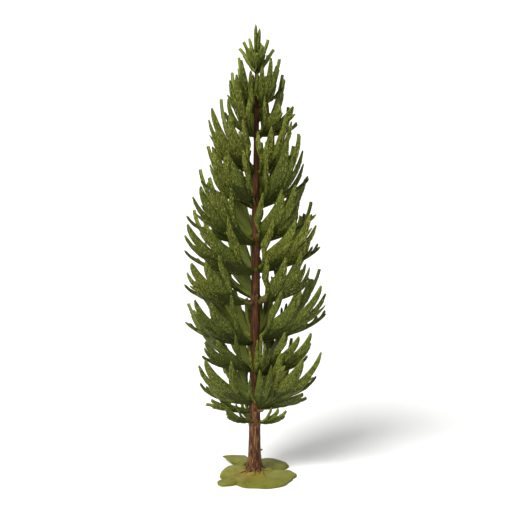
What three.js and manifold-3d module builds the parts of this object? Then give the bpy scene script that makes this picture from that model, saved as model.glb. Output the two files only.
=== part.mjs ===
// A moulded model of a slender cypress tree, standing on its own thin turf base.
// Millimetres, +Z up. The origin is on the flat underside of the base, below the trunk.

import * as THREE from "three";
import { mergeVertices } from "three/addons/utils/BufferGeometryUtils.js";
import Module from "manifold-3d";

const wasm = await Module();
wasm.setup();

// Gaps and tolerances
const CLEAR_GAP = 0.3;
const WELD = 1e-4;
const SLIVER = 0.05;
const GROUND_CUT = { side: 100, depth: 20 };

// Trunk: a flat foot, a root flare, a long taper and a swelling at each whorl of fronds
const TRUNK = {
  foot: 3.3,
  tip: 216.5,
  breastHeight: 20,
  breastRadius: 3.1,
  tipRadius: 0.75,
  taper: 0.72,
  flareRadius: 1.6,
  flareHeight: 5,
  flareSteps: [0, 0.6, 1.5, 3],
  roots: 6,
  rootDepth: 0.13,
  sway: 0.5,
  swayHeight: 190,
  swelling: 0.4,
  swellingHalf: 2.4,
  sides: 10,
};

// Base: low turf lobes round the trunk, each [x, y, half length, half width, turn in degrees, crown height]
const BASE_LOBES = [
  [0.5, 0.5, 10.5, 10, 0, 4.0],
  [3.2, -8.4, 16.8, 14, 5, 2.6],
  [-11.2, 2.4, 13, 7.8, 72, 2.7],
  [-13.8, -12.0, 7.8, 5.4, 42, 1.7],
  [13.6, -2.2, 9, 8, 20, 2.2],
  [7.2, 13.8, 11.6, 10.6, -30, 2.5],
];
const BASE_FLAP = { tipX: -18.4, tipY: 23.6, rootX: -4, rootY: 13, width: 13, top: 2.6, thick: 1.3 };
const BASE_RIM = 0.9;
// Outline of a lobe in section, each [share of its radius, share of the rim, share of the crown above it]
const LOBE_SECTION = [
  [0, -1, 0],
  [0.97, -1, 0],
  [1, 0.5, 0],
  [0.95, 1, 0.1],
  [0.82, 1, 0.5],
  [0.6, 1, 0.74],
  [0, 1, 1],
];
// Outline of the flap from above, each [share of its length, share of its width]
const FLAP_OUTLINE = [
  [0, -0.3],
  [0.28, -0.5],
  [0.5, -0.66],
  [0.83, -0.34],
  [1, 0],
  [0.83, 0.1],
  [0.5, 0.3],
  [0, 0.42],
];
const BASE_SEAT = { radius: 6.2, room: 3.3 };
const BASE_SIDES = 18;

// Fronds: sizes that every spray shares
const FROND = {
  stemHalf: 1.35,
  stemShare: 0.11,
  palmThick: 1.3,
  palmEdge: 0.22,
  palmSpread: 0.8,
  keelOut: 0.86,
  keelUp: 0.36,
  cup: 0.26,
  freeShare: 0.26,
  sideDrop: 0.32,
  sidePower: 1.4,
  sideScatter: 0.9,
  tipScatter: 0.2,
  freeLeast: 0.7,
  freeSpread: 0.6,
  curl: 1.6,
  curlMiddle: 0.3,
  lean: 0.42,
};
// Rows of a palm from its stem to the crotches: the share of the way, then how far it has spread, how
// thick its ribs and the webs between them are, and how much of the stem's round section is left
const PALM_ROWS = [
  { share: 0, spread: 0, rib: 0, web: 0, round: 1 },
  { share: 0.33, spread: 0.2, rib: 0.8, web: 0.5, round: 0.45 },
  { share: 0.67, spread: 0.48, rib: 1, web: 0.55, round: 0.1 },
  { share: 1, spread: FROND.palmSpread, rib: 0.85, web: 0.4, round: 0 },
];
// Rows of a free finger, with its half width, and the corners of its section from the left edge round
const FINGER_ROWS = [
  { share: 0.5, half: 1.1 },
  { share: 1, half: 0.55 },
];
const FINGER_SECTION = [[-1, 0.25], [0, 1], [1, 0.25], [0.6, -0.7], [-0.6, -0.7]];
const LIMB_SIDES = 6;
const BOUGH_SWELL = 1.3;
const STEM_ROOM = 1.2;

// Seeded rule: one stream of numbers for each whorl, each frond's fingers and each spray of the leader
const LOTTERY = { modulus: 2147483647, stir: 48271, step: 16807 };
const SEED = 4099;
const FINGER_SEED = SEED + 500;
const FINGER_SEED_STEP = 10;
const LEADER_SEED = SEED + 900;

// Whorls from the ground up, with one [bearing, reach, rise, bough] for each frond: the bearing in degrees
// anticlockwise from +X, so 270 is the front, then how far out and up the longest finger ends, then the
// length of the bare bough it grows from, if it has one.
const WHORLS = [
  { joint: 29.5, width: 5.5, fingers: 4, fronds: [[340, 18, 8], [112, 16, 7], [202, 19, 9]] },
  { joint: 37.5, width: 8, fingers: 5, fronds: [[20, 30, 2], [88, 23, 7], [166, 27, 2]] },
  {
    joint: 41.5,
    width: 13.5,
    fingers: 4,
    fronds: [[297, 16, 24], [342, 36, 29], [50, 32, 30], [124, 32, 30], [210, 36, 26]],
  },
  {
    joint: 59,
    width: 12,
    fingers: 5,
    fronds: [[288, 14, 24], [344, 34, 23], [54, 33, 28], [112, 31, 26], [156, 39, 33], [212, 33, 18]],
  },
  {
    joint: 75,
    width: 14.5,
    fingers: 5,
    fronds: [[340, 40, 30], [28, 39, 35], [118, 33, 33], [156, 36, 36], [208, 40, 25], [74, 24, 30]],
  },
  {
    joint: 97.5,
    width: 15,
    fingers: 5,
    fronds: [[322, 33, 27, 5], [38, 37, 31], [110, 32, 28], [149, 36, 28], [206, 42, 22, 5]],
  },
  {
    joint: 113.5,
    width: 15,
    fingers: 5,
    fronds: [[330, 37, 30], [32, 35, 33], [114, 32, 30], [156, 37, 30], [206, 42, 27]],
  },
  {
    joint: 130,
    width: 14.5,
    fingers: 5,
    fronds: [[318, 31, 30], [30, 30, 31], [114, 26, 30], [156, 33, 34], [210, 37, 30]],
  },
  {
    joint: 149,
    width: 13,
    fingers: 5,
    fronds: [[330, 29, 36], [32, 27, 34], [82, 21, 30], [156, 28, 30], [213, 31, 26]],
  },
  {
    joint: 166,
    width: 11.5,
    fingers: 5,
    fronds: [[324, 21, 31], [44, 23, 33], [138, 25, 35], [205, 27, 32]],
  },
  { joint: 183, width: 11, fingers: 4, fronds: [[338, 21, 14], [46, 19, 31], [132, 17, 31], [214, 18, 30]] },
  { joint: 198, width: 6, fingers: 5, fronds: [[321, 12, 24], [40, 14, 26], [124, 14, 27], [217, 12, 25]] },
];
const JOINT_SCATTER = 2;
const FRONT_ROLL = 50;
const REAR_ROLL = 38;
const SMALL_FROND_WIDTH = 0.28;
// Wide fronds behind the trunk, from this sine of the bearing and this half width on, keep a share of it
const BEHIND = { sine: 0.87, wide: 8, share: 0.75 };

// Leader: the tuft on the trunk's tip
const LEADER = {
  top: 240,
  radius: 1.2,
  tipRadius: 0.6,
  sprays: 5,
  firstBearing: 20,
  sprayTurn: 137.5,
  sprayStart: 0.4,
  keelOut: 0.5,
  keelUp: 0.45,
  low: 218,
  high: 228,
  reach: 8.7,
  reachDrop: 4.9,
  rise: 13.2,
  riseDrop: 3.6,
  width: 3.2,
  stem: 0.8,
  fingers: 3,
};

// Colours and finishes of the moulding
const FOLIAGE_COLOURS = [0x49521a, 0x414a16, 0x535b20];
const TRUNK_COLOUR = 0x57351f;
const BOUGH_COLOUR = 0x5b4526;
const BASE_COLOUR = 0x7f8036;
const PAINT_ROUGHNESS = 0.62;

// A repeatable stream of numbers from 0 to 1, the same for the same seed.
function lottery(seed) {
  let state = (seed * LOTTERY.stir) % LOTTERY.modulus;
  const draw = () => {
    state = (state * LOTTERY.step) % LOTTERY.modulus;
    return state / LOTTERY.modulus;
  };
  draw();
  draw();
  return draw;
}

// Turns a closed three.js geometry into a solid that can be joined and cut.
function solidOf(geometry) {
  geometry.deleteAttribute("normal");
  geometry.deleteAttribute("uv");
  const merged = mergeVertices(geometry, WELD);
  const vertProperties = merged.attributes.position.array;
  const triVerts = new Uint32Array(merged.index.array);
  return new wasm.Manifold(new wasm.Mesh({ numProp: 3, vertProperties, triVerts }));
}

// Makes a named mesh from a solid, with its own painted material.
function meshOf(name, solid, color) {
  const { vertProperties, triVerts } = solid.simplify(SLIVER).getMesh();
  const geometry = new THREE.BufferGeometry();
  geometry.setAttribute("position", new THREE.BufferAttribute(vertProperties, 3));
  geometry.setIndex(new THREE.BufferAttribute(triVerts, 1));
  geometry.computeVertexNormals();
  const material = new THREE.MeshStandardMaterial({ color, roughness: PAINT_ROUGHNESS, metalness: 0 });
  const mesh = new THREE.Mesh(geometry, material);
  mesh.name = name;
  return mesh;
}

// Moves every vertex of a geometry by a function of its place.
function bend(geometry, place) {
  const position = geometry.attributes.position;
  const vertex = new THREE.Vector3();
  for (let i = 0; i < position.count; i += 1) {
    vertex.fromBufferAttribute(position, i);
    const moved = place(vertex);
    position.setXYZ(i, moved.x, moved.y, moved.z);
  }
  return geometry;
}

// Trunk axis: a slow sideways sway in X.
function trunkAxis(height) {
  return -TRUNK.sway * Math.cos((Math.PI * height) / TRUNK.swayHeight);
}

// Trunk radius at a height, with the taper, the root flare and the swellings.
function trunkRadius(height) {
  const climb = (height - TRUNK.breastHeight) / (TRUNK.tip - TRUNK.breastHeight);
  const share = THREE.MathUtils.clamp(climb, 0, 1);
  const stem = TRUNK.tipRadius + (TRUNK.breastRadius - TRUNK.tipRadius) * (1 - share) ** TRUNK.taper;
  const flare = TRUNK.flareRadius * Math.exp(-(height - TRUNK.foot) / TRUNK.flareHeight);
  const swell = WHORLS.reduce((most, whorl) => {
    const away = Math.abs(height - whorl.joint) / TRUNK.swellingHalf;
    return Math.max(most, TRUNK.swelling * Math.max(0, 1 - away));
  }, 0);
  return stem + flare + swell * Math.min(1, stem / TRUNK.swellingHalf);
}

// Trunk: a turned profile, fluted into roots at the foot and swayed along its axis.
function trunkSolid() {
  const flareSteps = TRUNK.flareSteps.map((step) => TRUNK.foot + step * TRUNK.flareHeight);
  const collars = WHORLS.flatMap(({ joint }) => [joint, joint + TRUNK.swellingHalf]);
  const heights = [...flareSteps, ...collars, TRUNK.tip].sort((a, b) => a - b);
  const profile = heights.map((height) => new THREE.Vector2(trunkRadius(height), height));
  const outline = [new THREE.Vector2(0, TRUNK.foot), ...profile, new THREE.Vector2(0, TRUNK.tip)];
  const geometry = new THREE.LatheGeometry(outline, TRUNK.sides).rotateX(Math.PI / 2);
  const rooted = bend(geometry, ({ x, y, z }) => {
    const turn = Math.atan2(y, x);
    const fade = Math.exp(-(z - TRUNK.foot) / TRUNK.flareHeight);
    const flute = 1 + TRUNK.rootDepth * Math.cos(TRUNK.roots * turn) * fade;
    return new THREE.Vector3(x * flute + trunkAxis(z), y * flute, z);
  });
  return solidOf(rooted);
}

// One turf lobe: a thin rim under a low crown, reaching below the ground plane until the base is cut flat.
function lobeSolid([x, y, halfLength, halfWidth, turn, crown]) {
  const outline = LOBE_SECTION.map(([radius, rim, top]) => {
    return new THREE.Vector2(radius, BASE_RIM * rim + (crown - BASE_RIM) * top);
  });
  const geometry = new THREE.LatheGeometry(outline, BASE_SIDES).rotateX(Math.PI / 2);
  geometry.scale(halfLength, halfWidth, 1);
  geometry.rotateZ(THREE.MathUtils.degToRad(turn));
  geometry.translate(x, y, 0);
  return solidOf(geometry);
}

// The flat pointed flap of turf behind the trunk.
function flapSolid() {
  const { tipX, tipY, rootX, rootY, width, top, thick } = BASE_FLAP;
  const length = Math.hypot(tipX - rootX, tipY - rootY);
  const corners = FLAP_OUTLINE.map(([along, across]) => new THREE.Vector2(along * length, across * width));
  const leaf = new THREE.Shape(corners);
  const geometry = new THREE.ExtrudeGeometry(leaf, { depth: thick, bevelEnabled: false });
  geometry.translate(0, 0, top - thick);
  geometry.rotateZ(Math.atan2(tipY - rootY, tipX - rootX));
  geometry.translate(rootX, rootY, 0);
  return solidOf(mergeVertices(geometry));
}

// Base: the lobes and the flap joined, cut flat below and levelled where the trunk stands.
function baseSolid() {
  const turf = BASE_LOBES.map(lobeSolid).reduce((all, lobe) => all.add(lobe)).add(flapSolid());
  const seat = new THREE.CylinderGeometry(BASE_SEAT.radius, BASE_SEAT.radius, BASE_SEAT.room, TRUNK.sides);
  seat.rotateX(Math.PI / 2);
  seat.translate(0, 0, TRUNK.foot - CLEAR_GAP + BASE_SEAT.room / 2);
  const below = new THREE.BoxGeometry(GROUND_CUT.side, GROUND_CUT.side, GROUND_CUT.depth);
  below.translate(0, 0, -GROUND_CUT.depth / 2);
  return turf.subtract(solidOf(seat)).subtract(solidOf(below));
}

// A frond's blade: a keel that leaves the trunk low and turns upward, carrying a cupped, rolled sheet.
// The blade is drawn flat, along the keel, across it and out from it, and this gives the place in space.
function bladeOf({ bearing, joint, start, keelOut, keelUp, reach, rise, roll, width, stem }) {
  const turn = THREE.MathUtils.degToRad(bearing);
  const tilt = THREE.MathUtils.degToRad(roll);
  const run = reach - start;
  const keel = new THREE.QuadraticBezierCurve(
    new THREE.Vector2(start, joint),
    new THREE.Vector2(start + keelOut * run, joint + keelUp * rise),
    new THREE.Vector2(reach, joint + rise),
  );
  const place = (along, across, out) => {
    const point = keel.getPoint(along);
    const ahead = keel.getTangent(along);
    const dished = out - (FROND.cup * across * across) / width;
    const side = across * Math.cos(tilt) - dished * Math.sin(tilt);
    const down = across * Math.sin(tilt) + dished * Math.cos(tilt);
    const radius = point.x + ahead.y * down;
    const height = point.y - ahead.x * down;
    return new THREE.Vector3(
      trunkAxis(joint) + radius * Math.cos(turn) - side * Math.sin(turn),
      radius * Math.sin(turn) + side * Math.cos(turn),
      height,
    );
  };
  return { place, width, stem, lean: -FROND.lean * Math.sin(tilt) };
}

// The fingers of one frond by the seeded rule: spread evenly across the palm, the outer ones shorter.
function fingerPlan(count, draw) {
  return Array.from({ length: count }, (_, i) => {
    const even = (2 * i) / (count - 1) - 1;
    const side = (even * (count - 1)) / count + (draw() - 0.5) * (FROND.sideScatter / count);
    const shortening = FROND.sideDrop * Math.abs(even) ** FROND.sidePower + FROND.tipScatter * draw();
    const tip = 1 - (i === Math.floor(count / 2) ? 0 : shortening);
    const free = FROND.freeShare * (FROND.freeLeast + FROND.freeSpread * draw());
    const curl = FROND.curl * (draw() - FROND.curlMiddle);
    return { side, tip, crotch: tip - free, curl };
  });
}

// The seams between neighbouring fingers, with the outer edge of the palm at either end.
function seamPlan(fingers) {
  const first = fingers[0];
  const last = fingers[fingers.length - 1];
  const between = fingers.slice(1).map((finger, i) => ({
    side: (finger.side + fingers[i].side) / 2,
    crotch: Math.min(finger.crotch, fingers[i].crotch),
  }));
  const half = 1 / fingers.length;
  return [
    { side: first.side - half, crotch: first.crotch },
    ...between,
    { side: last.side + half, crotch: last.crotch },
  ];
}

// One frond as a hand: the stem widens into a palm ribbed on its outer face and smooth on its inner one,
// and each rib goes on past the palm as a free five-sided finger with a blunt tip.
function frondSolid({ place, width, stem, lean }, count, seed) {
  const fingers = fingerPlan(count, lottery(seed));
  const seams = seamPlan(fingers);
  const points = [];
  const faces = [];
  const add = (along, across, out) => points.push(place(along, across, out)) - 1;
  const quad = (a, b, c, d) => faces.push(a, c, b, a, d, c);

  // Rows of the palm from the stem's end to the crotches, outer face left to right and inner face back
  const rows = PALM_ROWS.map(({ share, spread, rib, web, round }) => {
    const edge = ({ side, crotch }, face) => {
      const bulge = Math.sqrt(Math.max(0, 1 - side * side)) * stem + FROND.palmEdge;
      const across = (side + lean) * spread * width + side * round * stem;
      return add(share * crotch, across, face * (web * FROND.palmThick + round * bulge));
    };
    const outer = seams.flatMap((seam, i) => {
      const here = edge(seam, 1);
      if (i === fingers.length) return [here];
      const crotch = (seam.crotch + seams[i + 1].crotch) / 2;
      const { side } = fingers[i];
      const bulge = Math.sqrt(1 - side * side) * stem + FROND.palmEdge;
      const across = (side + lean) * spread * width + side * round * stem;
      return [here, add(share * crotch, across, rib * FROND.palmThick + round * bulge)];
    });
    const inner = seams.map((seam) => edge(seam, -1)).reverse();
    return [...outer, ...inner];
  });
  rows.slice(1).forEach((row, i) => {
    row.forEach((_, k) => {
      const next = (k + 1) % row.length;
      quad(rows[i][k], row[k], row[next], rows[i][next]);
    });
  });
  rows[0].slice(2).forEach((_, k) => faces.push(rows[0][0], rows[0][k + 2], rows[0][k + 1]));

  // Free fingers, each on five points of the palm's last row
  const last = rows[rows.length - 1];
  fingers.forEach(({ side, tip, crotch, curl }, i) => {
    const left = 2 * i;
    const right = last.length - 1 - i;
    const base = [last[left], last[left + 1], last[left + 2], last[right - 1], last[right]];
    const rings = FINGER_ROWS.map(({ share, half }) => {
      const along = crotch + (tip - crotch) * share;
      const across = (side + lean) * width * (1 - (1 - FROND.palmSpread) * (1 - share) ** 2);
      const lift = curl * share * share;
      return FINGER_SECTION.map(([x, z]) => add(along, across + x * half, lift + z * half));
    });
    [base, ...rings.slice(0, -1)].forEach((ring, r) => {
      ring.forEach((_, k) => {
        const next = (k + 1) % ring.length;
        quad(ring[k], rings[r][k], rings[r][next], ring[next]);
      });
    });
    const end = rings[rings.length - 1];
    end.slice(2).forEach((_, k) => faces.push(end[0], end[k + 1], end[k + 2]));
  });

  const geometry = new THREE.BufferGeometry().setFromPoints(points);
  geometry.setIndex(faces);
  return solidOf(geometry);
}

// A short bare bough between the trunk and a frond's stem.
function boughSolid({ bearing, joint, slope, stem, bark, bough }) {
  const bar = new THREE.CylinderGeometry(stem, stem * BOUGH_SWELL, 1, LIMB_SIDES, 1);
  const turn = THREE.MathUtils.degToRad(bearing);
  const outer = bark + CLEAR_GAP + bough;
  return solidOf(
    bend(bar, ({ x, y, z }) => {
      const radius = outer + bough * (y - 0.5);
      const height = joint + Math.tan(slope) * (radius - outer) - z;
      return new THREE.Vector3(
        trunkAxis(joint) + radius * Math.cos(turn) - x * Math.sin(turn),
        radius * Math.sin(turn) + x * Math.cos(turn),
        height,
      );
    }),
  );
}

// The leader: an upright finger on the trunk's tip with short sprays round it, all one solid.
function leaderSolid() {
  const foot = TRUNK.tip + CLEAR_GAP;
  const stem = new THREE.CylinderGeometry(LEADER.tipRadius, LEADER.radius, LEADER.top - foot, LIMB_SIDES, 2);
  stem.rotateX(Math.PI / 2);
  stem.translate(trunkAxis(TRUNK.tip), 0, (LEADER.top + foot) / 2);
  let solid = solidOf(stem);
  for (let i = 0; i < LEADER.sprays; i += 1) {
    const share = i / (LEADER.sprays - 1);
    const blade = bladeOf({
      bearing: LEADER.firstBearing + i * LEADER.sprayTurn,
      joint: LEADER.low + (LEADER.high - LEADER.low) * share,
      start: LEADER.sprayStart,
      keelOut: LEADER.keelOut,
      keelUp: LEADER.keelUp,
      reach: LEADER.reach - LEADER.reachDrop * share,
      rise: LEADER.rise - LEADER.riseDrop * share,
      roll: 0,
      width: LEADER.width,
      stem: LEADER.stem,
    });
    solid = solid.add(frondSolid(blade, LEADER.fingers, LEADER_SEED + i));
  }
  return solid;
}

// The fronds of one whorl, their joints scattered in height by the seeded rule and their blades rolled to
// face the front. The shorter fronds are narrower, and each starts clear of the trunk by its stem's slope.
function frondsOf({ joint, width, fronds }, whorlIndex) {
  const draw = lottery(SEED + whorlIndex);
  const longest = Math.max(...fronds.map(([, reach]) => reach));
  const bark = trunkRadius(joint);
  return fronds.map(([bearing, reach, rise, bough = 0]) => {
    const turn = THREE.MathUtils.degToRad(bearing);
    const full = width * (SMALL_FROND_WIDTH + ((1 - SMALL_FROND_WIDTH) * reach) / longest);
    const behind = Math.sin(turn) > BEHIND.sine && full > BEHIND.wide;
    const blade = behind ? full * BEHIND.share : full;
    const stem = Math.min(FROND.stemHalf, FROND.stemShare * blade);
    const slope = Math.atan2(FROND.keelUp * rise, FROND.keelOut * (reach - bark));
    const clear = CLEAR_GAP + STEM_ROOM * (stem + FROND.palmEdge) * Math.sin(slope);
    return {
      bearing,
      joint: joint + JOINT_SCATTER * (2 * draw() - 1),
      start: bark + clear + (bough ? bough + CLEAR_GAP : 0),
      keelOut: FROND.keelOut,
      keelUp: FROND.keelUp,
      reach,
      rise,
      roll: (Math.sin(turn) < 0 ? FRONT_ROLL : REAR_ROLL) * Math.cos(turn),
      width: blade,
      stem,
      slope,
      bark,
      bough,
    };
  });
}

const tree = new THREE.Group();
tree.add(meshOf("base", baseSolid(), BASE_COLOUR));
tree.add(meshOf("trunk", trunkSolid(), TRUNK_COLOUR));
WHORLS.forEach((whorl, whorlIndex) => {
  frondsOf(whorl, whorlIndex).forEach((frond, frondIndex) => {
    const label = `${String(whorlIndex + 1).padStart(2, "0")}_${frondIndex + 1}`;
    if (frond.bough) {
      tree.add(meshOf(`bough_${label}`, boughSolid(frond), BOUGH_COLOUR));
    }
    const seed = FINGER_SEED + whorlIndex * FINGER_SEED_STEP + frondIndex;
    const colour = FOLIAGE_COLOURS[(whorlIndex + frondIndex) % FOLIAGE_COLOURS.length];
    tree.add(meshOf(`frond_${label}`, frondSolid(bladeOf(frond), whorl.fingers, seed), colour));
  });
});
tree.add(meshOf("leader", leaderSolid(), FOLIAGE_COLOURS[0]));

export default tree;
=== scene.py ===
"""Model cypress tree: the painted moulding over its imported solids.

Every frond is grown again here by the same seeded rule as its solid, and carried on to finer flames,
prongs and scale leaves within the same reach. The trunk gets bark, and the base its turf lobes.
All sizes are in metres unless a comment says millimetres.
"""

import math
from dataclasses import dataclass

import bpy
import numpy as np
from bpy.props import FloatProperty, FloatVectorProperty, IntProperty, PointerProperty
from bpy.types import Operator, Panel, PropertyGroup
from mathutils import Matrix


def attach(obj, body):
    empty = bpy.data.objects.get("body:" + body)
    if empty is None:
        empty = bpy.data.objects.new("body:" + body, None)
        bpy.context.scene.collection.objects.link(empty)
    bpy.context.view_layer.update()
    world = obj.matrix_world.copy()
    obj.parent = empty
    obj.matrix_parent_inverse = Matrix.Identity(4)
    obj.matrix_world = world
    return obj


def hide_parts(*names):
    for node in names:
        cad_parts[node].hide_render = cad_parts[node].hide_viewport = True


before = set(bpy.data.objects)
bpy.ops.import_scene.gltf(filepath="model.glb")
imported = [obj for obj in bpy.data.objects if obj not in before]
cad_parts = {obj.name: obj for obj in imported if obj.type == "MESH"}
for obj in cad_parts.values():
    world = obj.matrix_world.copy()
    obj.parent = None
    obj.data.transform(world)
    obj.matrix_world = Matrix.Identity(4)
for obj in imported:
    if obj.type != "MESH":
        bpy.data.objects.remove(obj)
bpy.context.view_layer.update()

bl_info = {
    "name": "Model cypress tree",
    "version": (1, 0, 0),
    "blender": (4, 5, 0),
    "location": "View3D > Sidebar > Cypress",
    "description": "Builds the fronds, bark and turf of a moulded model cypress",
    "category": "Object",
}

MM = 0.001
UPWARD = np.array((0.0, 0.0, 1.0))
# Least length that a vector is divided by
SMALLEST = 1e-18
# Gap between a solid and its neighbour
CLEAR_GAP = 0.3 * MM

# Screen colours: the curve from values of 0 to 255 to linear light
SCREEN_FULL = 255
SCREEN_TOE = 0.04045
SCREEN_TOE_SLOPE = 12.92
SCREEN_OFFSET = 0.055
SCREEN_POWER = 2.4

# Trunk
TRUNK_FOOT = 3.3 * MM
TRUNK_TIP = 216.5 * MM
BREAST_HEIGHT = 20 * MM
TRUNK_TIP_RADIUS = 0.75 * MM
TRUNK_TAPER = 0.72
FLARE_RADIUS = 1.6 * MM
FLARE_HEIGHT = 5 * MM
FLUTES = 6
FLUTE_DEPTH = 0.13
SWAY = 0.5 * MM
SWAY_HEIGHT = 190 * MM
SWELLING = 0.4 * MM
SWELLING_HALF = 2.4 * MM
TRUNK_SUNK = 2.2 * MM
TRUNK_ROWS = 520
TRUNK_RING = 108
# Bark ridges, each (count round the trunk, wander in radians, height of a wander in mm, share of the depth)
BARK_RIDGES = ((7, 0.9, 31, 0.45), (13, 1.3, 19, 0.6), (19, 1.7, 11, 0.5), (29, 2.1, 7, 0.35))
BARK_FULL_RADIUS = 3.1 * MM
BARK_THINNEST = 0.15
RIDGE_LEVEL = 0.6
RIPPLE_SHARE = 0.5
RIPPLE_PITCH = 0.37

# Boughs, where a taper, as for roots and nubs, is (share at the root, change up to the tip)
BOUGH_TAPER = (1.3, -0.3)
BOUGH_OVERRUN = 4 * CLEAR_GAP
BOUGH_ROWS = 16
BOUGH_RING = 20
BOUGH_ROUGH = 0.07
BOUGH_RIDGES = 5
BOUGH_TWIST = 9

# Fine roots over the turf, each (bearing in degrees, length in mm)
ROOTS = (
    (262, 4.5), (286, 5.5), (318, 7), (348, 4), (30, 5),
    (75, 4), (118, 6), (160, 4), (205, 7), (238, 4.5),
)
ROOT_RADIUS = 0.4 * MM
ROOT_TAPER = (1.1, -0.85)
ROOT_START = 0.8
ROOT_WANDER = 0.22
ROOT_BENDS = 3.1
ROOT_SEAT = 0.15
ROOT_CLIMB = 1.4 * MM
ROOT_CLIMB_POWER = 4
ROOT_ROWS = 16
ROOT_RING = 8

# Nubs on the trunk in mm, each (bearing in degrees, height, length, radius, rise, green or bark)
NUBS = (
    (322, 113.2, 12.5, 1.0, 5.0, "green"),
    (228, 113.6, 6.5, 0.9, 1.6, "green"),
    (274, 112.4, 5.0, 1.3, 2.4, "green"),
    (282, 97.6, 5.4, 1.1, 3.2, "bark"),
    (318, 97.0, 7.0, 1.2, 2.6, "bark"),
    (300, 131.0, 5.6, 1.6, 1.4, "bark"),
    (308, 36.5, 8.0, 1.2, 1.6, "bark"),
    (236, 31.0, 5.4, 1.3, 0.8, "green"),
    (352, 13.5, 4.6, 0.8, 1.2, "green"),
    (250, 147.5, 4.4, 0.9, 4.5, "bark"),
)
NUB_TAPER = (1, -0.45)
NUB_BEND = 1.6
NUB_ROUND = 8
NUB_ROWS = 8
NUB_RING = 10

# Base lobes in mm, each (x, y, half length, half width, turn in degrees, crown height)
BASE_LOBES = (
    (0.5, 0.5, 10.5, 10, 0, 4.0),
    (3.2, -8.4, 16.8, 14, 5, 2.6),
    (-11.2, 2.4, 13, 7.8, 72, 2.7),
    (-13.8, -12.0, 7.8, 5.4, 42, 1.7),
    (13.6, -2.2, 9, 8, 20, 2.2),
    (7.2, 13.8, 11.6, 10.6, -30, 2.5),
)
BASE_RIM = 0.9 * MM
LOBE_RADII = (0, 0.6, 0.82, 0.95, 1)
LOBE_CROWN = (1, 0.74, 0.5, 0.1, -0.25)
LOBE_CENTRE = 0.02
LOBE_UNDER = (LOBE_CENTRE, 0.5, 0.97)
LOBE_ROWS = 26
LOBE_RING = 96
# Waves of a lobe's edge, each (waves round it, share of the wave, shift from lobe to lobe in radians)
EDGE_WAVES = ((5, 1, 1), (9, 0.6, 2.3))
BUMP_ACROSS = 2.1 * MM
BUMP_DEEP = 1.7 * MM
BUMP_FINE = 1.1 * MM
BUMP_FINE_SHARE = 0.6
BUMP_FADE = 4

# Flap of the base, with its outline as (share of its length, lower edge, upper edge) in shares of its width
FLAP_ROOT = (-4 * MM, 13 * MM)
FLAP_TIP = (-18.4 * MM, 23.6 * MM)
FLAP_WIDTH = 13 * MM
FLAP_TOP = 2.6 * MM
FLAP_THICK = 1.3 * MM
FLAP_THINNING = 0.5
FLAP_RIPPLE = 0.12 * MM
FLAP_RIPPLE_LENGTH = 2 * MM
FLAP_CROWN = 0.5 * MM
FLAP_ROWS = 30
FLAP_ACROSS = 5
FLAP_OUTLINE = (
    (0, -0.3, 0.42),
    (0.28, -0.5, 0.38),
    (0.5, -0.66, 0.3),
    (0.83, -0.34, 0.1),
    (1, -0.02, 0.02),
)

# Fronds
STEM_HALF = 1.35 * MM
STEM_SHARE = 0.11
STEM_ROOM = 1.2
PALM_THICK = 1.3 * MM
PALM_EDGE = 0.22 * MM
KEEL_OUT = 0.86
KEEL_UP = 0.36
CUP = 0.26
FREE_SHARE = 0.26
SIDE_DROP = 0.32
SIDE_POWER = 1.4
SIDE_SCATTER = 0.9
TIP_SCATTER = 0.2
# Length of a free finger as (least share, spread above it)
FREE_LENGTH = (0.7, 0.6)
CURL = 1.6 * MM
CURL_MIDDLE = 0.3
LEAN = 0.42
# Rows of a palm from its stem to the crotches of its fingers
PALM_SHARE = (0, 0.33, 0.67, 1)
PALM_OPEN = 0.8
PALM_POWER = 1.25
PALM_RIB = (0, 0.8, 1, 0.85)
PALM_WEB = (0, 0.5, 0.55, 0.4)
PALM_ROUND = (1, 0.45, 0.1, 0)

# Seeded rule
LOTTERY_MODULUS = 2147483647
LOTTERY_STIR = 48271
LOTTERY_STEP = 16807
SEED = 4099
FINGER_SEED = SEED + 500
FINGER_SEED_STEP = 10
LEADER_SEED = SEED + 900
TWIG_SEED_STEP = 1
LEAF_SEED_STEP = 2
JOINT_SCATTER = 2 * MM
FRONT_ROLL = 50
REAR_ROLL = 38
SMALL_FROND_WIDTH = 0.28
TONES = 3
# Wide fronds that head straight back are narrower
BEHIND_TRUNK = 0.87
BEHIND_WIDE = 8 * MM
BEHIND_SHARE = 0.75
# The lowest fronds are slim like antlers, and the highest ones are wider
ANTLER_HEIGHT = 40 * MM
ANTLER_SHEET = 0.5
TOP_HEIGHT = 190 * MM
TOP_WIDTH = 1.4

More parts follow.
